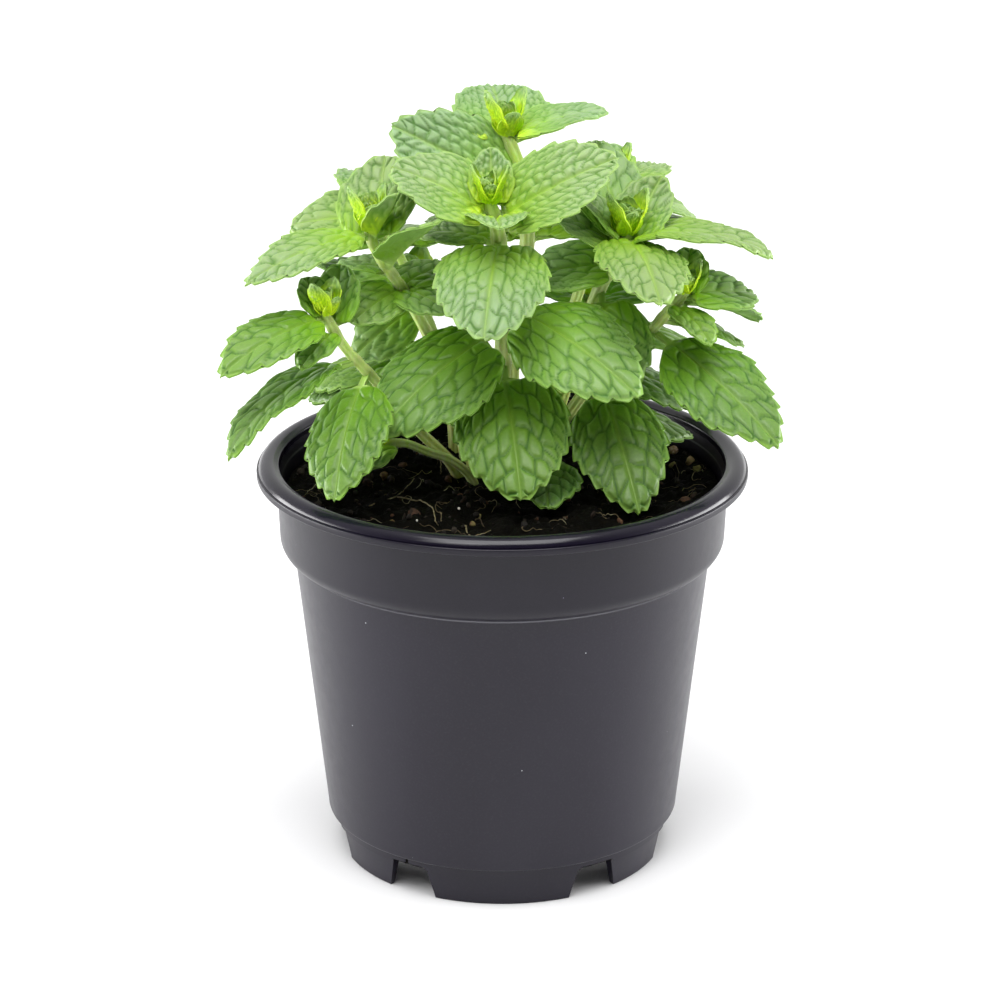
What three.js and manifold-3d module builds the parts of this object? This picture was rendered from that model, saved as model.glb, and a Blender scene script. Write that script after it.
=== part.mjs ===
// A mint plant growing in a round nursery pot: thin plastic pot, peat soil and leafy stems.
// Millimetres, +Z up, origin on the ground under the middle of the pot, front of the plant to -Y.
import * as THREE from "three";
import { mergeVertices } from "three/addons/utils/BufferGeometryUtils.js";
import Module from "manifold-3d";

const wasm = await Module();
wasm.setup();

// Driving dimensions of the pot
const RIM_RADIUS = 60;
const RIM_TOP = 101.5;
const LIP_BOTTOM = 97.6;
const COLLAR_TOP_RADIUS = 55.2;
const COLLAR_RADIUS = 54.6;
const COLLAR_BOTTOM = 78;
const BODY_TOP_RADIUS = 51.1;
const BODY_FOOT_RADIUS = 43.8;
const FOOT_RADIUS = 40.7;
const FOOT_HEIGHT = 9;
const WALL = 1.4;
const FLOOR_BOTTOM = 6.5;
const POT_SEGMENTS = 36;
const NOTCH_HEIGHT = 8.6;
const FOOT_WALL = 1.6;
const COLLAR_BEND = 4.2;
const RIM_ROLL = 2.7;
// Middle and half width, in degrees from the front, of each gap in the foot
const NOTCHES = [
  [33, 7],
  [90, 18],
  [147, 7],
  [213, 7],
  [270, 18],
  [327, 7],
];
const DRAIN_HOLES = 6;
const DRAIN_RADIUS = 4;
const DRAIN_CIRCLE = 30;
const DRAIN_SIDES = 8;

// Driving dimensions of the soil
const SOIL_TOP = 93.5;
const SOIL_RELIEF = 1.1;
const SOIL_CLEARANCE = 0.3;
const STEM_DEPTH = 14;
const STEM_CLEARANCE = 0.9;
const SOIL_SEGMENTS = 24;
// Rings of the surface, as shares of its radius
const SOIL_RINGS = [0.88, 0.68, 0.48, 0.28, 0];
const CRUMBS = 10;
const CRUMB_RADIUS = [1.2, 2.6];
const CRUMB_REACH = [18, 50];
const STEM_HOLE_SIDES = 8;

// Driving dimensions of the leaves
const BLADE_THICKNESS = 0.7;
const PETIOLE_WIDTH = 1.7;
const TOOTH_DEPTH = 0.9;
// Mint stems are square
const STEM_SIDES = 4;
const TOOTH_PITCH = 7;
const MOST_TEETH = 6;
const SMOOTH_LENGTH = 12.5;
const BUD_LEAF_BREADTH = 0.75;
const BUD_LEAF_ARCH = -30;
const BUD_LEAF_FOLD = 16;
// Crossed pairs of a bud: place on the stem, turn, share of the longest leaf, rise
const BUD_PAIRS = [
  [0.985, 0, 1, 66],
  [1, 90, 0.6, 76],
];
// Lengths up to this one are young leaves
const GROWN_LENGTH = 20;
const GROWN_STALK = 0.13;
const YOUNG_STALK = 0.05;

const DEGREE = Math.PI / 180;
const UP = new THREE.Vector3(0, 0, 1);

// Stems. path: points that the stem grows through, from its foot in the soil to its bud.
// radius: at the foot and at the bud. bud: turn of the bud's first pair, and its longest leaf.
// leaves: [place 0 to 1 on the stem, azimuth, rise, length, width, roll, arch, fold].
// Azimuth and rise give the leaf's direction, roll turns it about itself, arch bends its midrib
// and fold lifts its two halves, all in degrees
const SHOOTS = [
  {
    name: "shoot_centre",
    path: [[-1, 5, 93], [0, 3, 120], [0, 0, 141], [-1, -3, 158], [-3, -5, 167]],
    radius: [2.5, 1.7],
    bud: [0, 10],
    leaves: [
      [0.3, -82, -38, 39, 28, 6, 34, -8],
      [0.41, -143, -28, 41, 28, -18, 30, -8],
      [0.49, -43, -18, 45, 27, 24, 30, -8],
      [0.73, -96, -25, 35, 27, -2, 36, -6],
      [0.89, 169, 23, 26, 22, -24, 22, 8],
      [0.85, 0, 28, 32, 23, 36, 20, 8],
      [0.86, -86, 9, 18, 15, 0, 14, 14],
      [0.72, 152, -2, 21, 15, -10, 20, 8],
      [0.94, 92, 58, 15, 11, 0, -12, 14],
    ],
  },
  {
    name: "shoot_back",
    path: [[2, 14, 93], [3, 14, 130], [6, 14, 151], [5, 17, 167], [0.5, 19, 178]],
    radius: [2.2, 1.5],
    bud: [20, 12],
    leaves: [
      [0.92, 100, 18, 28, 24, 0, 16, 8],
      [0.68, 170, 26, 36, 23, -60, 24, 6],
      [0.96, 14, 12, 25, 18, 4, 24, 8],
      [0.62, 85, 1, 34, 24, 0, 30, -6],
      [0.54, 128, -6, 36, 25, 0, 30, -6],
      [0.5, 69, -3, 36, 25, -8, 30, -6],
      [0.26, 92, -14, 36, 26, 0, 34, -8],
    ],
  },
  {
    name: "shoot_left",
    path: [[-7, 14, 93], [-16, 8, 125], [-24, 2, 143], [-30, -3, 154], [-32, -5, 161]],
    radius: [2, 1.3],
    bud: [20, 11],
    leaves: [
      [0.91, -144, -11, 35, 17, -8, 28, 4],
      [0.66, -51, 36, 25, 16, 6, 10, 14],
      [0.6, 135, -2, 17, 13, 0, 20, 6],
      [0.84, 80, 47, 23, 20, -10, -6, 12],
      [0.91, -40, 54, 14, 10, 0, -12, 22],
      [0.14, 160, -16, 26, 20, 0, 30, -6],
      [0.51, -134, -18, 17, 14, -20, 20, 4],
      [0.52, 46, 6, 17, 13, 10, 18, 4],
      [0.5, -50, -6, 18, 14, 6, 22, -4],
    ],
  },
  {
    name: "shoot_low_left",
    path: [[-11, 9, 93], [-21, -1, 109], [-30, -6, 122], [-38, -13, 134], [-42, -17, 143]],
    radius: [1.8, 1.3],
    bud: [50, 9],
    leaves: [
      [0.95, -139, -14, 32, 18, -12, 34, 4],
      [0.87, 81, 54, 16, 13, -10, -10, 16],
      [0.94, 128, 44, 12, 10, -8, -10, 20],
      [0.84, -118, -17, 16, 10, 0, 20, 8],
      [0.65, -137, -22, 42, 18, 10, 46, 4],
      [0.57, -103, -37, 37, 22, 16, 30, -6],
    ],
  },
  {
    name: "shoot_right",
    path: [[9, 12, 93], [15, 8, 115], [23, 6, 141], [28, 4, 150], [30, 2, 157]],
    radius: [2, 1.4],
    bud: [20, 12],
    leaves: [
      [0.93, -9, -4, 35, 24, -4, 42, 6],
      [0.95, -78, -12, 33, 22, -6, 36, -6],
      [0.84, 172, 28, 18, 16, -14, 18, 8],
      [0.88, 106, 44, 30, 20, 12, -8, 12],
      [0.94, 52, 42, 19, 14, 22, -8, 12],
      [0.93, 160, 46, 16, 12, 0, -8, 14],
      [0.53, -78, -52, 29, 21, 8, 24, -4],
      [0.69, 177, -8, 20, 19, -24, 22, 6],
      [0.2, 8, -14, 34, 25, 0, 30, -6],
      [0.71, 30, -38, 16, 12, 14, 18, 4],
    ],
  },
  {
    name: "shoot_low_right",
    path: [[8, 3, 93], [19, 4, 115], [35, 1, 132], [40, -2, 139], [44, -4, 144]],
    radius: [1.8, 1.2],
    bud: [20, 9],
    leaves: [
      [0.54, -42, -28, 44, 24, 16, 24, -4],
      [0.32, -74, -36, 40, 23, 10, 32, -8],
      [0.82, -63, -17, 18, 11, -10, 20, 8],
      [0.96, 29, -8, 20, 17, 20, 20, 6],
      [0.87, 38, -20, 28, 15, -10, 20, 6],
      [0.93, 76, 42, 14, 11, 12, -8, 16],
      [0.66, 34, -24, 26, 18, 10, 22, 2],
      [0.08, -89, -7, 27, 17, 0, 20, -4],
    ],
  },
  {
    name: "shoot_runner",
    path: [[-7, 3, 93], [-12, 0, 100], [-18, -2, 103], [-24, -4, 106], [-30, -6, 106]],
    radius: [1.4, 1.1],
    bud: [60, 6],
    leaves: [[0.86, -140, -18, 18, 13, 0, 30, -4]],
  },
  {
    name: "shoot_back_left",
    path: [[-9, 20, 93], [-17, 23, 125], [-27, 26, 148], [-32, 27, 158]],
    radius: [1.8, 1.2],
    bud: [70, 10],
    leaves: [
      [0.85, 160, -9, 24, 19, -32, 22, 6],
      [0.92, 108, 13, 22, 17, 16, 18, 8],
      [0.96, 60, 17, 25, 16, 8, 18, 8],
      [0.68, 155, -6, 30, 21, 0, 30, -6],
      [0.64, 88, -6, 32, 22, 0, 30, -6],
      [0.55, -175, -16, 20, 15, -36, 20, 6],
      [0.44, -170, -38, 21, 16, -40, 20, -4],
      [0.28, 165, -16, 36, 25, -8, 32, -8],
    ],
  },
  {
    name: "shoot_back_right",
    path: [[10, 18, 93], [17, 23, 130], [26, 26, 155], [27.5, 27, 164]],
    radius: [1.8, 1.2],
    bud: [20, 10],
    leaves: [
      [0.95, 104, 14, 22, 16, 0, 18, 8],
      [0.9, 60, 2, 24, 17, 0, 18, 8],
      [0.86, 22, -21, 24, 17, 10, 22, 6],
      [0.62, 20, -8, 34, 23, 0, 30, -6],
      [0.56, 92, -6, 32, 22, 0, 30, -6],
      [0.32, 13, -16, 36, 25, 0, 32, -8],
    ],
  },
  {
    name: "shoot_rear_left",
    path: [[-12, 27, 93], [-14, 30, 112], [-20, 34, 126], [-22, 36, 134]],
    radius: [1.8, 1.2],
    bud: [70, 11],
    leaves: [
      [0.96, 165, 11, 26, 18, 0, 24, 6],
      [0.86, -10, 7, 22, 15, 0, 22, 8],
      [0.92, 75, 6, 22, 16, 0, 24, 6],
      [0.46, 112, -36, 35, 26, 0, 34, -8],
      [0.46, 190, -18, 34, 24, 0, 32, -8],
    ],
  },
  {
    name: "shoot_rear_right",
    path: [[11, 26, 93], [15, 31, 110], [21, 36, 124], [22, 38, 131]],
    radius: [1.8, 1.2],
    bud: [40, 11],
    leaves: [
      [0.92, 10, 8, 26, 18, 8, 24, 6],
      [0.94, 185, 13, 22, 15, -8, 22, 8],
      [0.92, 105, 6, 22, 16, 0, 24, 6],
      [0.46, 68, -28, 32, 25, 8, 34, -8],
      [0.46, -10, -18, 34, 24, 0, 32, -8],
    ],
  },
];

// A closed three.js geometry as a solid
function solidOf(geometry) {
  const plain = geometry.clone();
  plain.deleteAttribute("normal");
  plain.deleteAttribute("uv");
  const merged = mergeVertices(plain, 1e-4);
  return new wasm.Manifold(
    new wasm.Mesh({
      numProp: 3,
      vertProperties: new Float32Array(merged.attributes.position.array),
      triVerts: new Uint32Array(merged.index.array),
    }),
  );
}

// A solid as a three.js geometry
function geometryOf(solid) {
  const mesh = solid.getMesh();
  const geometry = new THREE.BufferGeometry();
  geometry.setAttribute("position", new THREE.BufferAttribute(mesh.vertProperties, 3));
  geometry.setIndex(new THREE.BufferAttribute(mesh.triVerts, 1));
  geometry.computeVertexNormals();
  return geometry;
}

// A point in plain coordinates
function vector(point) {
  return new THREE.Vector3(point[0], point[1], point[2]);
}

// A seeded generator of numbers from 0 to 1
function randomFrom(seed) {
  let state = seed;
  return () => {
    state = (state * 16807) % 2147483647;
    return state / 2147483647;
  };
}

// Points of an arc in a lathe profile, angles in degrees from the +X direction
function arc(centreX, centreY, radius, from, to, steps) {
  const points = [];
  for (let i = 0; i <= steps; i += 1) {
    const angle = (from + ((to - from) * i) / steps) * DEGREE;
    points.push([centreX + radius * Math.cos(angle), centreY + radius * Math.sin(angle)]);
  }
  return points;
}

// Profile of the pot's outside, from the foot to the top of the rim
function outsideProfile() {
  return [
    [FOOT_RADIUS, 0],
    [FOOT_RADIUS + 1.2, FOOT_HEIGHT],
    [BODY_FOOT_RADIUS, FOOT_HEIGHT + 2],
    [BODY_TOP_RADIUS, COLLAR_BOTTOM],
    ...arc(COLLAR_RADIUS - COLLAR_BEND, COLLAR_BOTTOM + 4.5, COLLAR_BEND, -60, -10, 2),
    [COLLAR_TOP_RADIUS, LIP_BOTTOM],
    [RIM_RADIUS - 0.4, LIP_BOTTOM],
    [RIM_RADIUS, LIP_BOTTOM + 0.5],
    ...arc(RIM_RADIUS - RIM_ROLL, RIM_TOP - RIM_ROLL, RIM_ROLL, 0, 120, 3),
  ];
}

// Profile of the pot's inside, from the rim down to the middle of the floor
function insideProfile() {
  return [
    [COLLAR_TOP_RADIUS - WALL, LIP_BOTTOM],
    [COLLAR_RADIUS - WALL, COLLAR_BOTTOM + 5],
    [BODY_TOP_RADIUS - WALL, COLLAR_BOTTOM - 0.5],
    [BODY_FOOT_RADIUS - WALL, FLOOR_BOTTOM + WALL],
    [0, FLOOR_BOTTOM + WALL],
  ];
}

// A profile turned about Z
function lathe(points, segments) {
  return new THREE.LatheGeometry(
    points.map((point) => new THREE.Vector2(point[0], point[1])),
    segments,
  ).rotateX(Math.PI / 2);
}

// One gap in the foot, as a wedge that widens downwards
function notch(middle, half) {
  const reach = FOOT_RADIUS + 6;
  const inner = FOOT_RADIUS - 5;
  const angle = (middle - 90) * DEGREE;
  const topWidth = reach * Math.sin((half - 1) * DEGREE);
  const bottomWidth = reach * Math.sin((half + 1.5) * DEGREE);
  const outline = new THREE.Shape([
    new THREE.Vector2(-bottomWidth, -1),
    new THREE.Vector2(bottomWidth, -1),
    new THREE.Vector2(topWidth, NOTCH_HEIGHT),
    new THREE.Vector2(-topWidth, NOTCH_HEIGHT),
  ]);
  const wedge = new THREE.ExtrudeGeometry(outline, { depth: reach - inner, bevelEnabled: false });
  wedge.rotateX(Math.PI / 2).translate(0, -inner, 0).rotateZ(angle + Math.PI / 2);
  return solidOf(wedge);
}

function drainHole(index) {
  const angle = ((index + 0.5) * 2 * Math.PI) / DRAIN_HOLES;
  const hole = new THREE.CylinderGeometry(DRAIN_RADIUS, DRAIN_RADIUS, 4 * WALL, DRAIN_SIDES);
  hole.rotateX(Math.PI / 2);
  hole.translate(
    DRAIN_CIRCLE * Math.cos(angle),
    DRAIN_CIRCLE * Math.sin(angle),
    FLOOR_BOTTOM + WALL / 2,
  );
  return solidOf(hole);
}

function pot() {
  const foot = [
    [0, FLOOR_BOTTOM],
    [FOOT_RADIUS - FOOT_WALL, FLOOR_BOTTOM],
    [FOOT_RADIUS - FOOT_WALL - 0.2, 0],
  ];
  let solid = solidOf(lathe([...foot, ...outsideProfile(), ...insideProfile()], POT_SEGMENTS));
  for (const [middle, half] of NOTCHES) {
    solid = solid.subtract(notch(middle, half));
  }
  for (let i = 0; i < DRAIN_HOLES; i += 1) {
    solid = solid.subtract(drainHole(i));
  }
  return solid;
}

// Height of the soil's surface
function soilHeight(x, y) {
  const waves = Math.sin(x * 0.31 + 1.3) * Math.cos(y * 0.27) + Math.sin(x * 0.12 - y * 0.19 + 0.6);
  return SOIL_TOP + SOIL_RELIEF * 0.5 * waves;
}

// A closed tube with flat ends. ringAt(i) gives the ring's centre, axes and radius
function tube(rings, sides, twist) {
  const positions = [];
  const index = [];
  for (const ring of rings) {
    for (let j = 0; j < sides; j += 1) {
      const angle = (j / sides) * 2 * Math.PI + twist;
      const point = ring.centre
        .clone()
        .addScaledVector(ring.across, ring.radius * Math.cos(angle))
        .addScaledVector(ring.along, ring.radius * Math.sin(angle));
      positions.push(point.x, point.y, point.z);
    }
  }
  for (let i = 0; i + 1 < rings.length; i += 1) {
    for (let j = 0; j < sides; j += 1) {
      const a = i * sides + j;
      const b = i * sides + ((j + 1) % sides);
      index.push(a, b, a + sides, b, b + sides, a + sides);
    }
  }
  const last = (rings.length - 1) * sides;
  for (let j = 1; j + 1 < sides; j += 1) {
    index.push(0, j + 1, j, last, last + j, last + j + 1);
  }
  const geometry = new THREE.BufferGeometry();
  geometry.setAttribute("position", new THREE.Float32BufferAttribute(positions, 3));
  geometry.setIndex(index);
  return geometry;
}

// The stem's centre line. Its foot goes straight down into the soil
function stemCurve(shoot) {
  const [x, y, z] = shoot.path[0];
  const points = [[x, y, z - STEM_DEPTH], ...shoot.path].map(vector);
  return new THREE.CatmullRomCurve3(points, false, "centripetal");
}

// Point of the stem at a place from 0, where it leaves the soil, to 1, its bud
function onStem(shoot, place) {
  const curve = stemCurve(shoot);
  const spans = shoot.path.length;
  const t = (1 + place * (spans - 1)) / spans;
  return curve.getPoint(t);
}

function stem(shoot) {
  const curve = stemCurve(shoot);
  const steps = Math.round(shoot.path.length * 1.6);
  const frames = curve.computeFrenetFrames(steps, false);
  const rings = [];
  for (let i = 0; i <= steps; i += 1) {
    const t = i / steps;
    rings.push({
      centre: curve.getPointAt(t),
      across: frames.normals[i],
      along: frames.binormals[i],
      radius: THREE.MathUtils.lerp(shoot.radius[0], shoot.radius[1], t),
    });
  }
  return solidOf(tube(rings, STEM_SIDES, Math.PI / STEM_SIDES));
}

// Half width of a leaf at v, from 0 at the blade's base to 1 at its tip, for a width of 2.
// Broad leaves are rounder at both ends than narrow ones
function leafShape(v, leaf) {
  const widest = 0.4;
  const blunt = THREE.MathUtils.clamp(0.92 - 0.6 * (leaf.width / leaf.length), 0.42, 0.6);
  const sharp = (blunt * (1 - widest)) / widest;
  const most = widest ** blunt * (1 - widest) ** sharp;
  return (Math.max(v, 0) ** blunt * Math.max(1 - v, 0) ** sharp) / most;
}

// Axes of a leaf: its chord, the way across it and the way its upper face looks
function leafAxes(azimuth, rise, roll) {
  const level = Math.cos(rise * DEGREE);
  const chord = new THREE.Vector3(
    level * Math.cos(azimuth * DEGREE),
    level * Math.sin(azimuth * DEGREE),
    Math.sin(rise * DEGREE),
  );
  const side = new THREE.Vector3().crossVectors(chord, UP).normalize();
  const face = new THREE.Vector3().crossVectors(side, chord);
  const turn = roll * DEGREE;
  const across = side.clone().multiplyScalar(Math.cos(turn)).addScaledVector(face, -Math.sin(turn));
  face.multiplyScalar(Math.cos(turn)).addScaledVector(side, Math.sin(turn));
  return { chord, across, face };
}

// Midrib of a leaf as a round arc whose chord is the leaf's length
function midrib(leaf, axes, s) {
  const bend = leaf.arch * DEGREE;
  const angle = bend / 2 - bend * s;
  const along = axes.chord.clone().multiplyScalar(Math.cos(angle));
  const normal = axes.face.clone().multiplyScalar(Math.cos(angle));
  along.addScaledVector(axes.face, Math.sin(angle));
  normal.addScaledVector(axes.chord, -Math.sin(angle));
  const radius = leaf.length / (2 * Math.sin(bend / 2));
  const forward = radius * (Math.sin(bend / 2) - Math.sin(angle));
  const height = radius * (Math.cos(angle) - Math.cos(bend / 2));
  const point = leaf.base.clone();
  point.addScaledVector(axes.chord, forward).addScaledVector(axes.face, height);
  return { point, normal };
}

// A leaf with a toothed edge: a thin blade on a short stalk, split alike on both faces
function leafBlade(leaf) {
  const axes = leafAxes(leaf.azimuth, leaf.rise, leaf.roll);
  const toothed = leaf.length > SMOOTH_LENGTH;
  const teeth = THREE.MathUtils.clamp(Math.round(leaf.length / TOOTH_PITCH), 3, MOST_TEETH);
  const stalk = leaf.stalk / leaf.length;
  const lift = Math.tan(leaf.fold * DEGREE);
  const positions = [];
  const rows = [];
  const faces = [];

  function addPair(s, y, thickness) {
    const { point, normal } = midrib(leaf, axes, s);
    const middle = point.addScaledVector(axes.across, y);
    middle.addScaledVector(normal, lift * Math.abs(y));
    for (const way of [1, -1]) {
      const corner = middle.clone().addScaledVector(normal, (way * thickness) / 2);
      positions.push(corner.x, corner.y, corner.z);
    }
    return positions.length / 6 - 1;
  }

  function place(v) {
    return stalk + (1 - stalk) * v;
  }

  // Middle and edge points of each station, left and right
  rows.push({
    middle: addPair(0, 0, PETIOLE_WIDTH),
    edges: [-1, 1].map((way) => [addPair(0, (way * PETIOLE_WIDTH) / 2, PETIOLE_WIDTH)]),
  });
  for (let k = 0; k < teeth; k += 1) {
    const v = k / teeth;
    const halfWidth = (leaf.width / 2) * leafShape(v, leaf);
    const width = Math.max(PETIOLE_WIDTH / 2, halfWidth - TOOTH_DEPTH / 2);
    const thick = k === 0 ? PETIOLE_WIDTH * 0.8 : BLADE_THICKNESS;
    const tipV = (k + 0.72) / teeth;
    const tipWidth = (leaf.width / 2) * leafShape(tipV, leaf) + TOOTH_DEPTH / 2;
    const middle = addPair(place(v), 0, thick);
    const edges = [-1, 1].map((way) => {
      const notchPair = addPair(place(v), way * width, thick);
      if (!toothed) return [notchPair];
      return [notchPair, addPair(place(tipV), way * tipWidth, BLADE_THICKNESS)];
    });
    rows.push({ middle, edges });
  }
  const tip = addPair(1, 0, BLADE_THICKNESS);

  // Top face triangles by station, turned to run anticlockwise seen from above
  function addTop(a, b, c, way) {
    faces.push(way > 0 ? [a, b, c] : [a, c, b]);
  }
  const outlines = [[], []];
  rows.forEach((row, k) => {
    const next = rows[k + 1];
    [-1, 1].forEach((way, side) => {
      const edge = row.edges[side];
      outlines[side].push(...edge);
      const nextMiddle = next ? next.middle : tip;
      const nextEdge = next ? next.edges[side][0] : tip;
      const chain = [...edge, nextEdge];
      for (let i = 0; i + 1 < chain.length; i += 1) {
        addTop(row.middle, chain[i], chain[i + 1], way);
      }
      if (next) addTop(row.middle, nextEdge, nextMiddle, way);
    });
  });

  const index = [];
  for (const [a, b, c] of faces) {
    index.push(2 * a, 2 * b, 2 * c, 2 * a + 1, 2 * c + 1, 2 * b + 1);
  }
  const rim = [rows[0].middle, ...outlines[1], tip, ...outlines[0].reverse()];
  for (let i = 0; i < rim.length; i += 1) {
    const a = 2 * rim[i];
    const b = 2 * rim[(i + 1) % rim.length];
    index.push(a, a + 1, b, b, a + 1, b + 1);
  }
  const geometry = new THREE.BufferGeometry();
  geometry.setAttribute("position", new THREE.Float32BufferAttribute(positions, 3));
  geometry.setIndex(index);
  return solidOf(geometry);
}

// Leaves of a bud: two crossed pairs that stand close round the stem's tip
function budLeaves(shoot) {
  const [start, longest] = shoot.bud;
  const leaves = [];
  for (const [place, turn, share, rise] of BUD_PAIRS) {
    const length = longest * share;
    const width = length * BUD_LEAF_BREADTH;
    for (const half of [0, 180]) {
      const azimuth = start + turn + half;
      leaves.push([place, azimuth, rise, length, width, 0, BUD_LEAF_ARCH, BUD_LEAF_FOLD]);
    }
  }
  return leaves;
}

// Where a leaf's stalk leaves the stem: sunk in it, towards the side that the leaf grows to
function leafRoot(shoot, at, azimuth) {
  const sink = 0.35 * THREE.MathUtils.lerp(shoot.radius[0], shoot.radius[1], at);
  const outward = new THREE.Vector3(Math.cos(azimuth * DEGREE), Math.sin(azimuth * DEGREE), 0);
  return onStem(shoot, at).addScaledVector(outward, sink);
}

// Share of a leaf's length that is its stalk: the young ones at a stem's tip have almost none
function stalkShare(at, length) {
  if (length <= GROWN_LENGTH) return YOUNG_STALK;
  const { lerp, smoothstep } = THREE.MathUtils;
  return lerp(GROWN_STALK, YOUNG_STALK, smoothstep(at, 0.5, 0.85));
}

function leavesOf(shoot) {
  const rows = [...shoot.leaves, ...budLeaves(shoot)];
  return rows.map(([at, azimuth, rise, length, width, roll, arch, fold]) => ({
    base: leafRoot(shoot, at, azimuth),
    azimuth,
    rise,
    length,
    width,
    roll,
    arch,
    fold,
    stalk: length * stalkShare(at, length),
  }));
}

// The largest body of a solid: small hollows between crossing leaves are filled this way
function mainBody(solid) {
  return solid.decompose().reduce((best, body) => (body.volume() > best.volume() ? body : best));
}

function shootSolid(shoot) {
  const joined = leavesOf(shoot).reduce((solid, leaf) => solid.add(leafBlade(leaf)), stem(shoot));
  return mainBody(joined);
}

// Peat that fills the pot, with a crumbled surface and a plain hole for each stem
function soil() {
  const outer = insideProfile().reverse();
  const profile = outer.map(([r, z]) => [Math.max(0, r - SOIL_CLEARANCE), z + SOIL_CLEARANCE]);
  const inner = profile.slice(0, -1);
  const topRadius = COLLAR_TOP_RADIUS - WALL - SOIL_CLEARANCE - 0.4;
  const rings = SOIL_RINGS.map((share) => [topRadius * share, SOIL_TOP]);
  const geometry = lathe([...inner, [topRadius, SOIL_TOP], ...rings], SOIL_SEGMENTS);
  const position = geometry.attributes.position;
  for (let i = 0; i < position.count; i += 1) {
    if (position.getZ(i) > SOIL_TOP - 0.01) {
      position.setZ(i, soilHeight(position.getX(i), position.getY(i)));
    }
  }
  let solid = solidOf(geometry);
  const random = randomFrom(77);
  for (let i = 0; i < CRUMBS; i += 1) {
    const angle = random() * 2 * Math.PI;
    const reach = THREE.MathUtils.lerp(CRUMB_REACH[0], CRUMB_REACH[1], Math.sqrt(random()));
    const x = reach * Math.cos(angle);
    const y = reach * Math.sin(angle);
    const size = THREE.MathUtils.lerp(CRUMB_RADIUS[0], CRUMB_RADIUS[1], random());
    const crumb = new THREE.IcosahedronGeometry(size, 0);
    crumb.rotateX(random() * 3).translate(x, y, soilHeight(x, y) + 0.3);
    solid = solid.add(solidOf(crumb));
  }
  for (const shoot of SHOOTS) {
    const [x, y] = shoot.path[0];
    const radius = shoot.radius[0] + STEM_CLEARANCE;
    const height = 4 * STEM_DEPTH;
    const hole = new THREE.CylinderGeometry(radius, radius, height, STEM_HOLE_SIDES);
    hole.rotateX(Math.PI / 2);
    hole.translate(x, y, SOIL_TOP - STEM_DEPTH - 0.8 + height / 2);
    solid = solid.subtract(solidOf(hole));
  }
  return solid;
}

function material(color, roughness) {
  return new THREE.MeshStandardMaterial({ color, roughness, metalness: 0, flatShading: true });
}

function named(name, solid, look) {
  const mesh = new THREE.Mesh(geometryOf(solid), look);
  mesh.name = name;
  return mesh;
}

const plant = new THREE.Group();
plant.add(named("pot", pot(), material(0x3c3b40, 0.42)));
plant.add(named("soil", soil(), material(0x1d1612, 0.95)));
for (const shoot of SHOOTS) {
  plant.add(named(shoot.name, shootSolid(shoot), material(0x63a83c, 0.6)));
}

export default plant;
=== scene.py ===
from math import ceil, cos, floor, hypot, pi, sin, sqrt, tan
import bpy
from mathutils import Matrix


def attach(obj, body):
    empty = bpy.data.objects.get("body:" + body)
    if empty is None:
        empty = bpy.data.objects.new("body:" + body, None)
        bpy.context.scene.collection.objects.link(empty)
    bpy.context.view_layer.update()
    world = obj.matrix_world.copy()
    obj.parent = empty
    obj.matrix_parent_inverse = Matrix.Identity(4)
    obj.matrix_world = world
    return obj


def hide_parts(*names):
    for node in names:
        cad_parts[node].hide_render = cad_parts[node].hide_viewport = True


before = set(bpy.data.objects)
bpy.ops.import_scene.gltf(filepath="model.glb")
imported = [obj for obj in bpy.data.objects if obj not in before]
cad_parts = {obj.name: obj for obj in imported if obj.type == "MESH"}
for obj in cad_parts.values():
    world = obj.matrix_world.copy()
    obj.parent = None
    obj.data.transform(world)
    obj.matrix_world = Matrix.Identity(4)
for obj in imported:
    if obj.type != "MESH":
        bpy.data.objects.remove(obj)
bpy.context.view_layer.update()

# A mint plant growing in a round nursery pot: thin dark plastic, peat and leafy square stems.
# Shapes are worked out in millimetres, +Z up, and become metres when a mesh is made.
from types import SimpleNamespace

import bmesh
import bpy
import numpy as np
from mathutils import Vector

MM = 0.001
UP = np.array([0.0, 0.0, 1.0])

# The camera, fitted to the pot's rim, collar and foot. Pixels are those of a 1000 by 1000 frame
CAMERA_PLACE = (0.0, -757.8, 363.3)
CAMERA_DOWN = 19.84
FOCAL_PIXELS = 3280.4
IMAGE_SIZE = 1000
SENSOR = 36.0
MIDDLE_PIXEL_X = 502.3

# The stage, in metres and watts: place, target, width, height and power of each lamp, and the sky,
# which grows brighter from the front to the back
FLOOR_SIZE = 12.0
LAMPS = {
    "top": ((0.0, -0.4, 1.15), (0, 0, 0.1), 0.9, 0.8, 13.5),
    "right": ((1.0, 0.15, 0.16), (0, 0, 0.05), 0.9, 0.4, 11),
    "left": ((-1.0, 0.15, 0.16), (0, 0, 0.05), 0.9, 0.4, 11.5),
    "front": ((-0.5, -1.0, 1.3), (0, 0, 0.15), 0.7, 0.6, 4),
    "far": ((0.0, 1.5, 1.4), (0, 3.1, 0), 3.0, 1.2, 60),
}
SKY = {"From Min": -0.9, "From Max": 0.2, "To Min": 0.11, "To Max": 1.08}

# The pot
RIM_RADIUS = 60
RIM_TOP = 101.5
RIM_ROLL = 2.7
LIP_BOTTOM = 97.6
COLLAR_TOP_RADIUS = 55.2
COLLAR_RADIUS = 54.6
COLLAR_BOTTOM = 78
COLLAR_ROUND = 4.2
BODY_TOP_RADIUS = 51.1
BODY_FOOT_RADIUS = 43.8
FOOT_RADIUS = 40.7
FOOT_HEIGHT = 9
WALL = 1.4
FLOOR_BOTTOM = 6.5
# Radius of a ring of the mesh round the floor's middle
FLOOR_MIDDLE = 12
NOTCH_HEIGHT = 8.6
POT_SEGMENTS = 200
# Middle and half width, in degrees from the front, of each gap in the foot
NOTCHES = [(33, 7), (90, 18), (147, 7), (213, 7), (270, 18), (327, 7)]
DRAIN_HOLES = 6
DRAIN_RADIUS = 4
DRAIN_CIRCLE = 30

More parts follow.
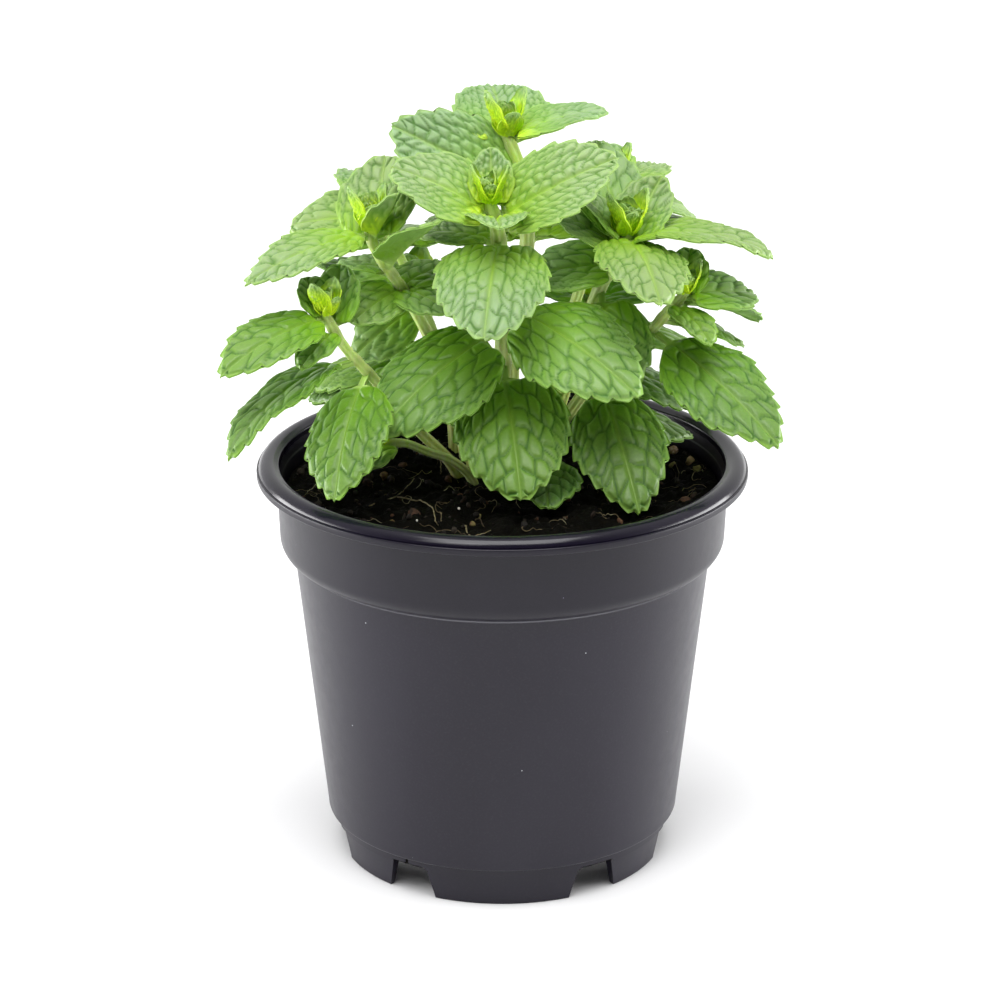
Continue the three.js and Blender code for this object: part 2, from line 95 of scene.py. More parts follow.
# The soil
SOIL_TOP = 93.5
SOIL_RELIEF = 1.1
SOIL_CLEARANCE = 0.3
STEM_DEPTH = 14
SOIL_GRID = 130
# Size and height of the lumps of the crumbled surface, from coarse to fine
SOIL_LUMPS = ((7, 1.5), (3.4, 1.3), (1.8, 0.9), (1.05, 0.5))
CRUMBS = 320
CRUMB_SHAPES = 7
BARK_CHIPS = 24
FIBRES = 110
FIBRE_STEPS = 12
FIBRE_REACH = 51.5

# The leaves
PETIOLE_WIDTH = 1.7
STALK_STEP = 1.2
# The points of a leaf's grid that its lower face has too
EVERY_OTHER = (slice(None, None, 2), slice(None, None, 2))
BUD_LEAF_BREADTH = 0.75
BUD_SCALES = 8
# Buds on stems with a mesh coarser than this have one pair of leaves less
BACK_GRID = 0.42
# Most that a leaf outside the bud can have of the bud's fresh colour
YOUNGEST_GROWN = 0.85
# How far from the stem's middle a leaf starts, as a share of the stem's radius
LEAF_SINK = 0.35
BLADE_THICKNESS = 0.38
TOOTH_PITCH = 3.8
TOOTH_DEPTH = 1.5
LOBE_DEPTH = 0.1
VEIN_SLANT = 0.92
SIDE_VEIN_WIDTH = 0.44
RIB_DEPTH = 0.26
RIB_THICKNESS = 0.62
# Each of these on an old and on a young leaf: size of the cells between the small veins, width of
# those veins, how far in from them a cell is round, its height, and how much of it shows below
CELL_SIZE = (3.05, 1.45)
SMALL_VEIN_WIDTH = (0.34, 0.4)
CELL_SHOULDER = (1.5, 1.7)
CELL_HEIGHT = (0.56, 0.85)
CELL_BELOW = (0.3, 0.9)

# The stems
STEM_SIDES = 24
STEM_STEP = 0.9
NODE_SWELL = 0.16
NODE_REACH = 1.6
HAIRS_PER_MM = 3.2
HAIR_RADIUS = 0.055

# Stems. grid: size of the leaves' mesh squares. pale: how pale and yellow the stem's leaves are.
# radius: at the foot and at the bud. bud: turn of the bud's first pair, and its longest leaf.
# path: points that the stem grows through, from its foot in the soil to its bud.
# leaves: place from 0 to 1 on the stem, and seven more as LEAF_ROW names them, angles in degrees
LEAF_ROW = ("at", "azimuth", "rise", "length", "width", "roll", "arch", "fold")
SHOOTS = [
    dict(
        name="shoot_centre", grid=0.345, pale=0.2, radius=(2.5, 1.7), bud=(0, 10),
        path=[[-1, 5, 93], [0, 3, 120], [0, 0, 141], [-1, -3, 158], [-3, -5, 167]],
        leaves=[
            [0.3, -82, -38, 39, 28, 6, 34, -8], [0.41, -143, -28, 41, 28, -18, 30, -8],
            [0.49, -43, -18, 45, 27, 24, 30, -8], [0.73, -96, -25, 35, 27, -2, 36, -6],
            [0.89, 169, 23, 26, 22, -24, 22, 8], [0.85, 0, 28, 32, 23, 36, 20, 8],
            [0.86, -86, 9, 18, 15, 0, 14, 14], [0.72, 152, -2, 21, 15, -10, 20, 8],
            [0.94, 92, 58, 15, 11, 0, -12, 14],
        ],
    ),
    dict(
        name="shoot_back", grid=0.41, pale=0.5, radius=(2.2, 1.5), bud=(20, 12),
        path=[[2, 14, 93], [3, 14, 130], [6, 14, 151], [5, 17, 167], [0.5, 19, 178]],
        leaves=[
            [0.92, 100, 18, 28, 24, 0, 16, 8], [0.68, 170, 26, 36, 23, -60, 24, 6],
            [0.96, 14, 12, 25, 18, 4, 24, 8], [0.62, 85, 1, 34, 24, 0, 30, -6],
            [0.54, 128, -6, 36, 25, 0, 30, -6], [0.5, 69, -3, 36, 25, -8, 30, -6],
            [0.26, 92, -14, 36, 26, 0, 34, -8],
        ],
    ),
    dict(
        name="shoot_left", grid=0.365, pale=0.15, radius=(2, 1.3), bud=(20, 11),
        path=[[-7, 14, 93], [-16, 8, 125], [-24, 2, 143], [-30, -3, 154], [-32, -5, 161]],
        leaves=[
            [0.91, -144, -11, 35, 17, -8, 28, 4], [0.66, -51, 36, 25, 16, 6, 10, 14],
            [0.6, 135, -2, 17, 13, 0, 20, 6], [0.84, 80, 47, 23, 20, -10, -6, 12],
            [0.91, -40, 54, 14, 10, 0, -12, 22], [0.14, 160, -16, 26, 20, 0, 30, -6],
            [0.51, -134, -18, 17, 14, -20, 20, 4], [0.52, 46, 6, 17, 13, 10, 18, 4],
            [0.5, -50, -6, 18, 14, 6, 22, -4],
        ],
    ),
    dict(
        name="shoot_low_left", grid=0.365, pale=0, radius=(1.8, 1.3), bud=(50, 9),
        path=[[-11, 9, 93], [-21, -1, 109], [-30, -6, 122], [-38, -13, 134], [-42, -17, 143]],
        leaves=[
            [0.95, -139, -14, 32, 18, -12, 34, 4], [0.87, 81, 54, 16, 13, -10, -10, 16],
            [0.94, 128, 44, 12, 10, -8, -10, 20], [0.84, -118, -17, 16, 10, 0, 20, 8],
            [0.65, -137, -22, 42, 18, 10, 46, 4], [0.57, -103, -37, 37, 22, 16, 30, -6],
        ],
    ),
    dict(
        name="shoot_right", grid=0.37, pale=0.1, radius=(2, 1.4), bud=(20, 12),
        path=[[9, 12, 93], [15, 8, 115], [23, 6, 141], [28, 4, 150], [30, 2, 157]],
        leaves=[
            [0.93, -9, -4, 35, 24, -4, 42, 6], [0.95, -78, -12, 33, 22, -6, 36, -6],
            [0.84, 172, 28, 18, 16, -14, 18, 8], [0.88, 106, 44, 30, 20, 12, -8, 12],
            [0.94, 52, 42, 19, 14, 22, -8, 12], [0.93, 160, 46, 16, 12, 0, -8, 14],
            [0.53, -78, -52, 29, 21, 8, 24, -4], [0.69, 177, -8, 20, 19, -24, 22, 6],
            [0.2, 8, -14, 34, 25, 0, 30, -6], [0.71, 30, -38, 16, 12, 14, 18, 4],
        ],
    ),
    dict(
        name="shoot_low_right", grid=0.365, pale=0, radius=(1.8, 1.2), bud=(20, 9),
        path=[[8, 3, 93], [19, 4, 115], [35, 1, 132], [40, -2, 139], [44, -4, 144]],
        leaves=[
            [0.54, -42, -28, 44, 24, 16, 24, -4], [0.32, -74, -36, 40, 23, 10, 32, -8],
            [0.82, -63, -17, 18, 11, -10, 20, 8], [0.96, 29, -8, 20, 17, 20, 20, 6],
            [0.87, 38, -20, 28, 15, -10, 20, 6], [0.93, 76, 42, 14, 11, 12, -8, 16],
            [0.66, 34, -24, 26, 18, 10, 22, 2], [0.08, -89, -7, 27, 17, 0, 20, -4],
        ],
    ),
    dict(
        name="shoot_runner", grid=0.34, pale=0.5, radius=(1.4, 1.1), bud=(60, 6),
        path=[[-7, 3, 93], [-12, 0, 100], [-18, -2, 103], [-24, -4, 106], [-30, -6, 106]],
        leaves=[
            [0.86, -140, -18, 18, 13, 0, 30, -4],
        ],
    ),
    dict(
        name="shoot_back_left", grid=0.5, pale=0.2, radius=(1.8, 1.2), bud=(70, 10),
        path=[[-9, 20, 93], [-17, 23, 125], [-27, 26, 148], [-32, 27, 158]],
        leaves=[
            [0.85, 160, -9, 24, 19, -32, 22, 6], [0.92, 108, 13, 22, 17, 16, 18, 8],
            [0.96, 60, 17, 25, 16, 8, 18, 8], [0.68, 155, -6, 30, 21, 0, 30, -6],
            [0.64, 88, -6, 32, 22, 0, 30, -6], [0.55, -175, -16, 20, 15, -36, 20, 6],
            [0.44, -170, -38, 21, 16, -40, 20, -4], [0.28, 165, -16, 36, 25, -8, 32, -8],
        ],
    ),
    dict(
        name="shoot_back_right", grid=0.5, pale=0.1, radius=(1.8, 1.2), bud=(20, 10),
        path=[[10, 18, 93], [17, 23, 130], [26, 26, 155], [27.5, 27, 164]],
        leaves=[
            [0.95, 104, 14, 22, 16, 0, 18, 8], [0.9, 60, 2, 24, 17, 0, 18, 8],
            [0.86, 22, -21, 24, 17, 10, 22, 6], [0.62, 20, -8, 34, 23, 0, 30, -6],
            [0.56, 92, -6, 32, 22, 0, 30, -6], [0.32, 13, -16, 36, 25, 0, 32, -8],
        ],
    ),
    dict(
        name="shoot_rear_left", grid=0.55, pale=0, radius=(1.8, 1.2), bud=(70, 11),
        path=[[-12, 27, 93], [-14, 30, 112], [-20, 34, 126], [-22, 36, 134]],
        leaves=[
            [0.96, 165, 11, 26, 18, 0, 24, 6], [0.86, -10, 7, 22, 15, 0, 22, 8],
            [0.92, 75, 6, 22, 16, 0, 24, 6], [0.46, 112, -36, 35, 26, 0, 34, -8],
            [0.46, 190, -18, 34, 24, 0, 32, -8],
        ],
    ),
    dict(
        name="shoot_rear_right", grid=0.55, pale=0, radius=(1.8, 1.2), bud=(40, 11),
        path=[[11, 26, 93], [15, 31, 110], [21, 36, 124], [22, 38, 131]],
        leaves=[
            [0.92, 10, 8, 26, 18, 8, 24, 6], [0.94, 185, 13, 22, 15, -8, 22, 8],
            [0.92, 105, 6, 22, 16, 0, 24, 6], [0.46, 68, -28, 32, 25, 8, 34, -8],
            [0.46, -10, -18, 34, 24, 0, 32, -8],
        ],
    ),
]


def rad(degrees):
    return degrees * pi / 180


def lerp(a, b, t):
    return a + (b - a) * t


def smoothstep(low, high, x):
    t = np.clip((x - low) / (high - low), 0, 1)
    return t * t * (3 - 2 * t)


def unit(v):
    return v / np.linalg.norm(v, axis=-1, keepdims=True)


def show(name, data):
    """A new object of the scene."""
    thing = bpy.data.objects.new(name, data)
    bpy.context.scene.collection.objects.link(thing)
    return thing


class Mesh:
    """Collects points in millimetres, faces by their number of corners, and a value for each point."""

    def __init__(self):
        self.points = []
        self.faces = {}
        self.values = {}
        self.count = 0

    def add(self, points, faces, **values):
        for face in faces:
            face = np.asarray(face)
            if len(face):
                self.faces.setdefault(face.shape[1], []).append(face + self.count)
        for key, value in values.items():
            self.values.setdefault(key, []).append(np.broadcast_to(value, len(points)))
        self.points.append(points)
        self.count += len(points)

    def build(self, name, material):
        points = np.concatenate(self.points) * MM
        groups = [np.concatenate(group) for group in self.faces.values()]
        corners = np.concatenate([group.ravel() for group in groups])
        sizes = np.concatenate([np.full(len(group), group.shape[1]) for group in groups])
        starts = np.concatenate([[0], np.cumsum(sizes)[:-1]])
        mesh = bpy.data.meshes.new(name)
        mesh.vertices.add(len(points))
        mesh.vertices.foreach_set("co", points.astype(np.float32).ravel())
        mesh.loops.add(len(corners))
        mesh.loops.foreach_set("vertex_index", corners.astype(np.int32))
        mesh.polygons.add(len(sizes))
        mesh.polygons.foreach_set("loop_start", starts.astype(np.int32))
        mesh.update(calc_edges=True)
        mesh.polygons.foreach_set("use_smooth", np.ones(len(sizes), dtype=bool))
        for key, values in self.values.items():
            layer = mesh.attributes.new(key, "FLOAT", "POINT")
            layer.data.foreach_set("value", np.concatenate(values).astype(np.float32))
        mesh.materials.append(material)
        return show(name, mesh)


def grid_faces(rows, columns, turned=False):
    """Squares of a grid of points, rows by columns."""
    index = np.arange(rows * columns).reshape(rows, columns)
    a, b, c, d = index[:-1, :-1], index[:-1, 1:], index[1:, 1:], index[1:, :-1]
    order = (a, d, c, b) if turned else (a, b, c, d)
    return np.stack(order, axis=-1).reshape(-1, 4)


def ring_faces(rings, sides):
    """Squares of a tube of rings."""
    index = np.arange(rings * sides).reshape(rings, sides)
    after = np.roll(index, -1, axis=1)
    return np.stack((index[:-1], after[:-1], after[1:], index[1:]), axis=-1).reshape(-1, 4)


def closed_rings(rings, ends):
    """Points and faces of a tube of rings, closed by a point at each end."""
    count, sides = rings.shape[:2]
    index = np.arange(sides)
    after = (index + 1) % sides
    top = (count - 1) * sides
    first = np.stack((after, index, np.full(sides, count * sides)), axis=-1)
    last = np.stack((index + top, after + top, np.full(sides, count * sides + 1)), axis=-1)
    return np.concatenate([rings.reshape(-1, 3), ends]), [ring_faces(count, sides), first, last]


def curve_point(points, t):
    """Point of a centripetal Catmull-Rom curve."""
    points = np.asarray(points, float)
    last = len(points) - 1
    place = t * last
    i = min(int(floor(place)), last - 1)
    weight = place - i
    p1, p2 = points[i], points[i + 1]
    p0 = points[i - 1] if i > 0 else 2 * points[0] - points[1]
    p3 = points[i + 2] if i + 2 <= last else 2 * points[last] - points[last - 1]
    d0, d1, d2 = (sqrt(np.linalg.norm(b - a)) for a, b in ((p0, p1), (p1, p2), (p2, p3)))
    m1 = ((p1 - p0) / d0 - (p2 - p0) / (d0 + d1) + (p2 - p1) / d1) * d1
    m2 = ((p2 - p1) / d1 - (p3 - p1) / (d1 + d2) + (p3 - p2) / d2) * d1
    square = -3 * p1 + 3 * p2 - 2 * m1 - m2
    cube = 2 * p1 - 2 * p2 + m1 + m2
    return p1 + m1 * weight + square * weight**2 + cube * weight**3


def stem_points(shoot):
    x, y, z = shoot["path"][0]
    return [[x, y, z - STEM_DEPTH], *shoot["path"]]


def on_stem(shoot, place):
    """Point of the stem at a place from 0, where it leaves the soil, to 1, its bud."""
    spans = len(shoot["path"])
    return curve_point(stem_points(shoot), (1 + place * (spans - 1)) / spans)


def leaf_shape(v, leaf):
    """Half width of a leaf from 0 at the blade's base to 1 at its tip, for a width of 2."""
    widest = 0.4
    blunt = min(max(0.92 - 0.6 * leaf["width"] / leaf["length"], 0.42), 0.6)
    sharp = blunt * (1 - widest) / widest
    most = widest**blunt * (1 - widest) ** sharp
    return np.maximum(v, 0) ** blunt * np.maximum(1 - v, 0) ** sharp / most


def stalk_share(at, length):
    """Share of a leaf's length that is its stalk: young leaves at the stem's tip have almost none."""
    return lerp(0.13, 0.05, smoothstep(0.5, 0.85, at)) if length > 20 else 0.05


def leaf_axes(leaf):
    azimuth, rise, roll = (rad(leaf[key]) for key in ("azimuth", "rise", "roll"))
    level = cos(rise)
    chord = np.array([level * cos(azimuth), level * sin(azimuth), sin(rise)])
    side = unit(np.cross(chord, UP))
    face = np.cross(side, chord)
    across = side * cos(roll) - face * sin(roll)
    face = face * cos(roll) + side * sin(roll)
    return chord, across, face


def midrib(leaf, axes, s):
    """Points and upward normals of a leaf's midrib, an arc whose chord is the leaf's length."""
    chord, _, face = axes
    bend = rad(leaf["arch"])
    angle = bend / 2 - bend * s
    radius = leaf["length"] / (2 * sin(bend / 2))
    forward = radius * (sin(bend / 2) - np.sin(angle))
    height = radius * (np.cos(angle) - cos(bend / 2))
    point = leaf["base"] + forward[..., None] * chord + height[..., None] * face
    normal = np.cos(angle)[..., None] * face - np.sin(angle)[..., None] * chord
    return point, normal


def cell_seeds(cell, band, half, draw):
    """Middles of the cells in one band between two side veins: place across the band, reach, height."""
    seeds = []
    at = 0
    while at < half * 1.1 or len(seeds) < 2:
        size = cell * lerp(1.25, 0.58, min(1, at / half)) * (0.85 + 0.3 * draw.random())
        count = max(1, round(band / size - 0.1 + 0.4 * (draw.random() - 0.5)))
        for k in range(count):
            jitter = draw.random(3) - 0.5
            place = (k + 0.5 + 0.35 * jitter[0]) / count
            seeds.append([place, at + size * (0.5 + 0.5 * jitter[1]), 0.85 + 0.3 * jitter[2]])
        at += size
    return np.array(seeds)


def leaf_cells(q, reach, side, band, half, cell, draw):
    """Cells between the small veins: gap to the nearest small vein, and height of each cell's pillow.

    q counts the side veins and reach is the distance from the midrib. The side veins part each
    half of the leaf in bands, and each band holds cells of its own, smaller towards the edge.
    """
    gap, tall = np.full(q.shape, 9.0), np.ones(q.shape)
    number = np.floor(q).astype(int)
    for way in (-1, 1):
        for k in range(number.min(), number.max() + 1):
            seeds = cell_seeds(cell, band, half, draw)
            inside = (number == k) & (side * way > 0)
            if not inside.any():
                continue
            across = (q[inside] - k)[:, None] - seeds[:, 0]
            distance = np.hypot(across * band, reach[inside][:, None] - seeds[:, 1])
            order = np.argsort(distance, axis=1)
            nearest, second = np.take_along_axis(distance, order[:, :2], axis=1).T
            gap[inside] = second - nearest
            tall[inside] = seeds[order[:, 0], 2]
    return gap, tall


def tooth_row(along, teeth, shift, depth):
    """Outward and forward reach of the teeth along one edge of a leaf."""
    phase = (along * teeth + shift) % 1
    rise = np.where(phase < 0.8, (phase / 0.8) ** 0.75, ((1 - phase) / 0.2) ** 1.2)
    size = depth * smoothstep(0, 0.1, along) * (1 - 0.4 * along)
    return size * (rise - 0.45), size * 0.85 * rise


def leaf_grid(leaf, spacing, draw):
    """Flat grid of a leaf, teeth included, with rows from the stem to the tip and columns across.

    y is the place across the leaf, s the share of its length and v that of its blade's length.
    """
    length, half = leaf["length"], leaf["width"] / 2
    stalk, blade = leaf["stalk"] / length, length - leaf["stalk"]
    u = np.linspace(-1, 1, 4 * ceil(half / spacing / 2) + 1)
    t = np.linspace(0, 1, 2 * ceil(blade / spacing / 2) + 1)
    stalk_rows = 2 * ceil(leaf["stalk"] / STALK_STEP / 2)
    v_row = t - 0.1 * np.sin(2 * pi * t)
    on_stalk = np.linspace(0, stalk, stalk_rows, endpoint=False)
    s_row = np.concatenate([on_stalk, stalk + (1 - stalk) * v_row])
    v_row = np.concatenate([np.zeros(stalk_rows), v_row])
    petiole = PETIOLE_WIDTH / 2 * min(1, 0.45 + length / 50)
    stub = petiole * (1 - v_row) ** 0.5 + 0.22 * v_row
    width = np.sqrt((half * leaf_shape(v_row, leaf)) ** 2 + stub**2)

    # Teeth, spaced evenly along each edge
    steps = np.hypot(np.diff(s_row) * length, np.diff(width))
    steps[:stalk_rows] = 0
    along = np.concatenate([[0], np.cumsum(steps)])
    teeth = max(4, round(blade / TOOTH_PITCH))
    depth = TOOTH_DEPTH * min(1, length / 34)
    out, forward = np.zeros((len(s_row), len(u))), np.zeros((len(s_row), len(u)))
    for way in (-1, 1):
        reach, lean = tooth_row(along / along[-1], teeth, 0.35 * draw.random(), depth)
        where = u * way > 0
        out[:, where] = reach[:, None]
        forward[:, where] = lean[:, None]
    u, width, v_row = u[None, :], width[:, None], v_row[:, None]
    size = np.abs(u)
    y = u * width + np.sign(u) * out * size**5
    s = s_row[:, None] + forward * size**6 / length
    v = np.clip((s - stalk) / (1 - stalk), 0, 1)
    on_blade = smoothstep(0.0, 0.07, v_row)

    # Round lobes at the base of a broad blade, so that it is heart-shaped
    lobe = LOBE_DEPTH * smoothstep(0.55, 0.75, 2 * half / length)
    s = s - lobe * on_blade * size**2 * (1 - v_row) ** 4
    reach = np.abs(y)
    return SimpleNamespace(
        length=length, half=half, blade=blade, u=u, size=size, y=y, s=s, v=v, reach=reach,
        share=reach / half, width=width, edge=width + out * size**5 - reach, on_blade=on_blade,
    )


def leaf_veins(grid, young, draw):
    """Side veins, small veins and midrib, and the pillows between them, each from 0 to about 1."""
    length, half, blade, v, reach, share = (
        getattr(grid, key) for key in ("length", "half", "blade", "v", "reach", "share")
    )
    pairs = 4 + (length > 24) + (length > 36)
    lead = 0.3 + 0.2 * draw.random()
    q = pairs * (v - VEIN_SLANT * half / blade * (share**1.22 + 0.2 * share**5)) + lead
    drift = 2 * pi * draw.random(3)
    lean = np.sign(grid.u) * 0.9
    q = q + 0.09 * np.sin(0.75 * reach + 9 * v + drift[0] + lean)
    q = q + 0.06 * np.sin(1.6 * reach - 14 * v + drift[1] + lean)
    band = blade / pairs * 0.74
    cell = lerp(*CELL_SIZE, young**4) * (0.7 + 0.3 * length / 36)
    cell *= 1 - 0.35 * smoothstep(0.6, 0.8, young) * smoothstep(24, 13, length)
    sides = np.broadcast_to(np.where(grid.u < 0, -1, 1), v.shape)
    cell_gap, tall = leaf_cells(q, reach, sides, band, half, cell, draw)
    side_gap = 2 * np.minimum(q - np.floor(q), np.ceil(q) - q) * band
    real = smoothstep(0.1, 0.5, q) * smoothstep(0, 0.08, share)
    gap = np.minimum(np.minimum(cell_gap, lerp(9, side_gap, real)), 2 * reach + 0.3)
    side = np.exp(-((side_gap / SIDE_VEIN_WIDTH) ** 2)) * real * (1 - 0.4 * share)
    fresh = smoothstep(0.6, 0.9, young)
    small = np.exp(-((cell_gap / lerp(*SMALL_VEIN_WIDTH, fresh)) ** 2))
    return SimpleNamespace(
        side=side,
        net=np.maximum(0.9 * small, side),
        rib=np.exp(-((grid.y / (0.32 + 0.3 * (1 - v))) ** 2)) * (1 - 0.6 * v),
        pillow=tall * (1 - (1 - np.clip(gap / lerp(*CELL_SHOULDER, fresh), 0, 1)) ** 2.2),
        quilt=1 - (2 * np.abs(q - np.floor(q) - 0.5)) ** 2,
    )


def leaf_surfaces(leaf, grid, veins, inner, draw):
    """Points of the upper face, and those of the lower face at every other row and column."""
    young, length, v = leaf["young"], grid.length, grid.v
    size, reach, share, on_blade = grid.size, grid.reach, grid.share, grid.on_blade
    lift = tan(rad(leaf["fold"]))
    bulge = lerp(0.16, 0.10, young) * grid.width * size * (1 - size) * on_blade
    turns = 1.4 + draw.random()
    starts = 2 * pi * draw.random(2)
    wave_phase = np.where(grid.u < 0, starts[0], starts[1])
    wave = 0.014 * length * size**2.5 * np.sin(2 * pi * turns * v + wave_phase) * on_blade
    smooth_height = lift * reach * (0.65 + 0.35 * size) + bulge + wave
    relief = lerp(*CELL_HEIGHT, young) * min(1, 0.5 + length / 40) * veins.pillow
    relief = relief + 0.2 * veins.quilt * (1 - young) * smoothstep(0, 0.12, share)
    relief = relief - 0.15 * veins.side
    relief = relief * inner * (0.35 + 0.65 * smoothstep(0, 0.1, share))
    relief = relief - RIB_DEPTH * veins.rib * on_blade
    channel = 0.35 * (1 - size**2) * (1 - on_blade)
    axes = leaf_axes(leaf)
    point, normal = midrib(leaf, axes, grid.s)
    base = point + grid.y[..., None] * axes[1]
    upper = base + (smooth_height + relief - channel)[..., None] * normal

    # Under the blade the ribs are raised, and under the stalk it is round
    thick = BLADE_THICKNESS + 0.16 * veins.side
    thick = thick + RIB_THICKNESS * np.exp(-((grid.y / 0.75) ** 2)) * (1 - v) ** 0.7 * on_blade
    round_stalk = PETIOLE_WIDTH * 0.8 * np.sqrt(np.clip(1 - size**2, 0, 1)) * (1 - on_blade)
    body = thick * (0.55 + 0.45 * on_blade) + round_stalk
    low_height = smooth_height + lerp(*CELL_BELOW, young) * relief - body
    return upper, (base + low_height[..., None] * normal)[EVERY_OTHER]


def leaf_faces(upper, lower):
    """Faces of both sides of a leaf, and those of the edge that joins them."""
    high = np.arange(upper.shape[0] * upper.shape[1]).reshape(upper.shape[:2])
    deep = np.arange(lower.shape[0] * lower.shape[1]).reshape(lower.shape[:2]) + high.size
    faces = [grid_faces(*upper.shape[:2], turned=True), grid_faces(*lower.shape[:2]) + high.size]
    for edge, under, flip in (
        (high[:, 0], deep[:, 0], False),
        (high[:, -1], deep[:, -1], True),
        (high[0], deep[0], True),
        (high[-1], deep[-1], False),
    ):
        wall = np.stack((edge[:-1:2], edge[1::2], edge[2::2], under[1:], under[:-1]), axis=-1)
        faces.append(wall[:, ::-1] if flip else wall)
    return faces


def add_leaf(mesh, leaf, spacing, draw):
    """One leaf: a fine upper face, a coarser lower face and the edge between them."""
    young = leaf["young"]
    grid = leaf_grid(leaf, spacing, draw)
    veins = leaf_veins(grid, young, draw)
    inner = smoothstep(0, min(0.9, 0.28 * grid.half), grid.width - grid.reach) * grid.on_blade
    upper, lower = leaf_surfaces(leaf, grid, veins, inner, draw)

    def both(value):
        value = np.broadcast_to(value, grid.y.shape)
        return np.concatenate([value.ravel(), value[EVERY_OTHER].ravel()])

    # How young each point looks: fresher at the base of leaves near the bud, less at the bud's tips
    grown = young + leaf["fresh"] * (1 - smoothstep(0, leaf["fresh_reach"], grid.v))
    grown = grown - 0.14 * smoothstep(0.86, 1, young) * smoothstep(0.5, 1.0, grid.v)
    rib = veins.rib + 0.5 * veins.side * (1 - 0.7 * grid.share) * (1 - grid.v)
    mesh.add(
        np.concatenate([upper.reshape(-1, 3), lower.reshape(-1, 3)]),
        leaf_faces(upper, lower),
        net=both(np.clip(veins.net * (0.35 + 0.65 * inner) * grid.on_blade, 0, 1)),
        rib=both(np.clip(rib, 0, 1)),
        edge=both(1 - smoothstep(0.1, 0.75, grid.edge)),
        under=np.repeat([0.0, 1.0], [upper[..., 0].size, lower[..., 0].size]),
        young=both(grown),
        stalk=both(1 - grid.on_blade),
        along=both(grid.v),
        tint=leaf["tint"],
    )


def bud_leaves(shoot, draw):
    """Crossed pairs round the stem's tip, and small crumpled leaves inside them."""
    turn, longest = shoot["bud"]
    rows = []
    pairs = [(0.985, turn, longest, 66), (1, turn + 90, longest * 0.6, 76)]
    if shoot["grid"] < BACK_GRID:
        pairs.append((0.96, turn + 90, longest * 0.72, 58))
    for place, way, length, rise in pairs:
        for opposite in (0, 180):
            rows.append([place, way + opposite, rise, length, length * BUD_LEAF_BREADTH, 180, 30, -16])
    for i in range(BUD_SCALES):
        length = longest * (0.36 + 0.4 * draw.random())
        rise = 58 + 26 * draw.random()
        azimuth = turn + 360 * (i + 0.5) / BUD_SCALES
        rows.append([1, azimuth, rise, length, length * 0.7, 180, 38, -24])
    return rows


def leaves_of(shoot, draw):
    """Every leaf of a shoot as a dict, the young ones at the stem's tip."""
    leaves = []
    for k, row in enumerate([*shoot["leaves"], *bud_leaves(shoot, draw)]):
        leaf = dict(zip(LEAF_ROW, row))
        at, length, turn = leaf["at"], leaf["length"], rad(leaf["azimuth"])
        in_bud = k >= len(shoot["leaves"])
        sink = LEAF_SINK * lerp(*shoot["radius"], at)
        foot = on_stem(shoot, at)
        young = 0.09 * smoothstep(112, 126, foot[2]) + 0.68 * smoothstep(134, 168, foot[2])
        young = young + 0.1 * smoothstep(26, 14, length) + shoot["pale"] * at
        leaf.update(
            base=foot + np.array([cos(turn), sin(turn), 0]) * sink,
            stalk=length * stalk_share(at, length),
            young=1.0 if in_bud else float(min(young, YOUNGEST_GROWN)),
            fresh=0.0 if in_bud else 0.13 * smoothstep(0.8, 0.9, at),
            fresh_reach=lerp(0.8, 0.26, smoothstep(14, 28, length)),
            tint=draw.random() * 2 - 1,
        )
        leaves.append(leaf)
    return leaves


def make_leaves(shoot, look):
    x, y, _ = shoot["path"][0]
    draw = np.random.default_rng(1000 * len(shoot["name"]) + 37 * abs(x) + y)
    mesh = Mesh()
    for leaf in leaves_of(shoot, draw):
        add_leaf(mesh, leaf, shoot["grid"] * (1 if leaf["length"] > 13 else 0.8), draw)
    piece = mesh.build(shoot["name"] + "_leaves", look)
    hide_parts(shoot["name"])
    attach(piece, "root")


def path_frames(points):
    """Directions, and two axes across them, along a line of points, turned as little as can be."""
    ahead = unit(np.gradient(points, axis=0))
    first = np.cross(ahead[0], [0.3, 1.0, 0.2])
    a = [unit(first)]
    for direction in ahead[1:]:
        step = a[-1] - direction * np.dot(a[-1], direction)
        a.append(unit(step))
    a = np.array(a)
    return ahead, a, np.cross(ahead, a)


def add_tube(mesh, points, radii, sides, section=None, **values):
    """A closed tube along points, with a radius for each of them."""
    _, a, b = path_frames(points)
    turn = np.arange(sides) / sides * 2 * pi
    shape = np.ones(sides) if section is None else section(turn)
    radius = np.asarray(radii)[:, None] * shape[None, :]
    rings = (
        points[:, None, :]
        + (radius * np.cos(turn))[..., None] * a[:, None, :]
        + (radius * np.sin(turn))[..., None] * b[:, None, :]
    )
    full = {}
    for key, value in values.items():
        value = np.broadcast_to(value, (len(points),))
        full[key] = np.concatenate([np.repeat(value, sides), value[[0, -1]]])
    mesh.add(*closed_rings(rings, points[[0, -1]]), **full)


def square_section(turn):
    """Outline of a square stem: rounded corners and a shallow groove down each side."""
    return 0.86 + 0.15 * np.cos(4 * turn) - 0.04 * np.cos(8 * turn)


def stem_line(shoot):
    """Points along a stem, evenly spaced, their share of its length, and the length."""
    points = np.array([curve_point(stem_points(shoot), t) for t in np.linspace(0, 1, 400)])
    along = np.concatenate([[0], np.cumsum(np.linalg.norm(np.diff(points, axis=0), axis=1))])
    share = np.linspace(0, 1, int(along[-1] / STEM_STEP))
    even = np.stack([np.interp(share * along[-1], along, points[:, k]) for k in range(3)], axis=-1)
    return even, share, along[-1]


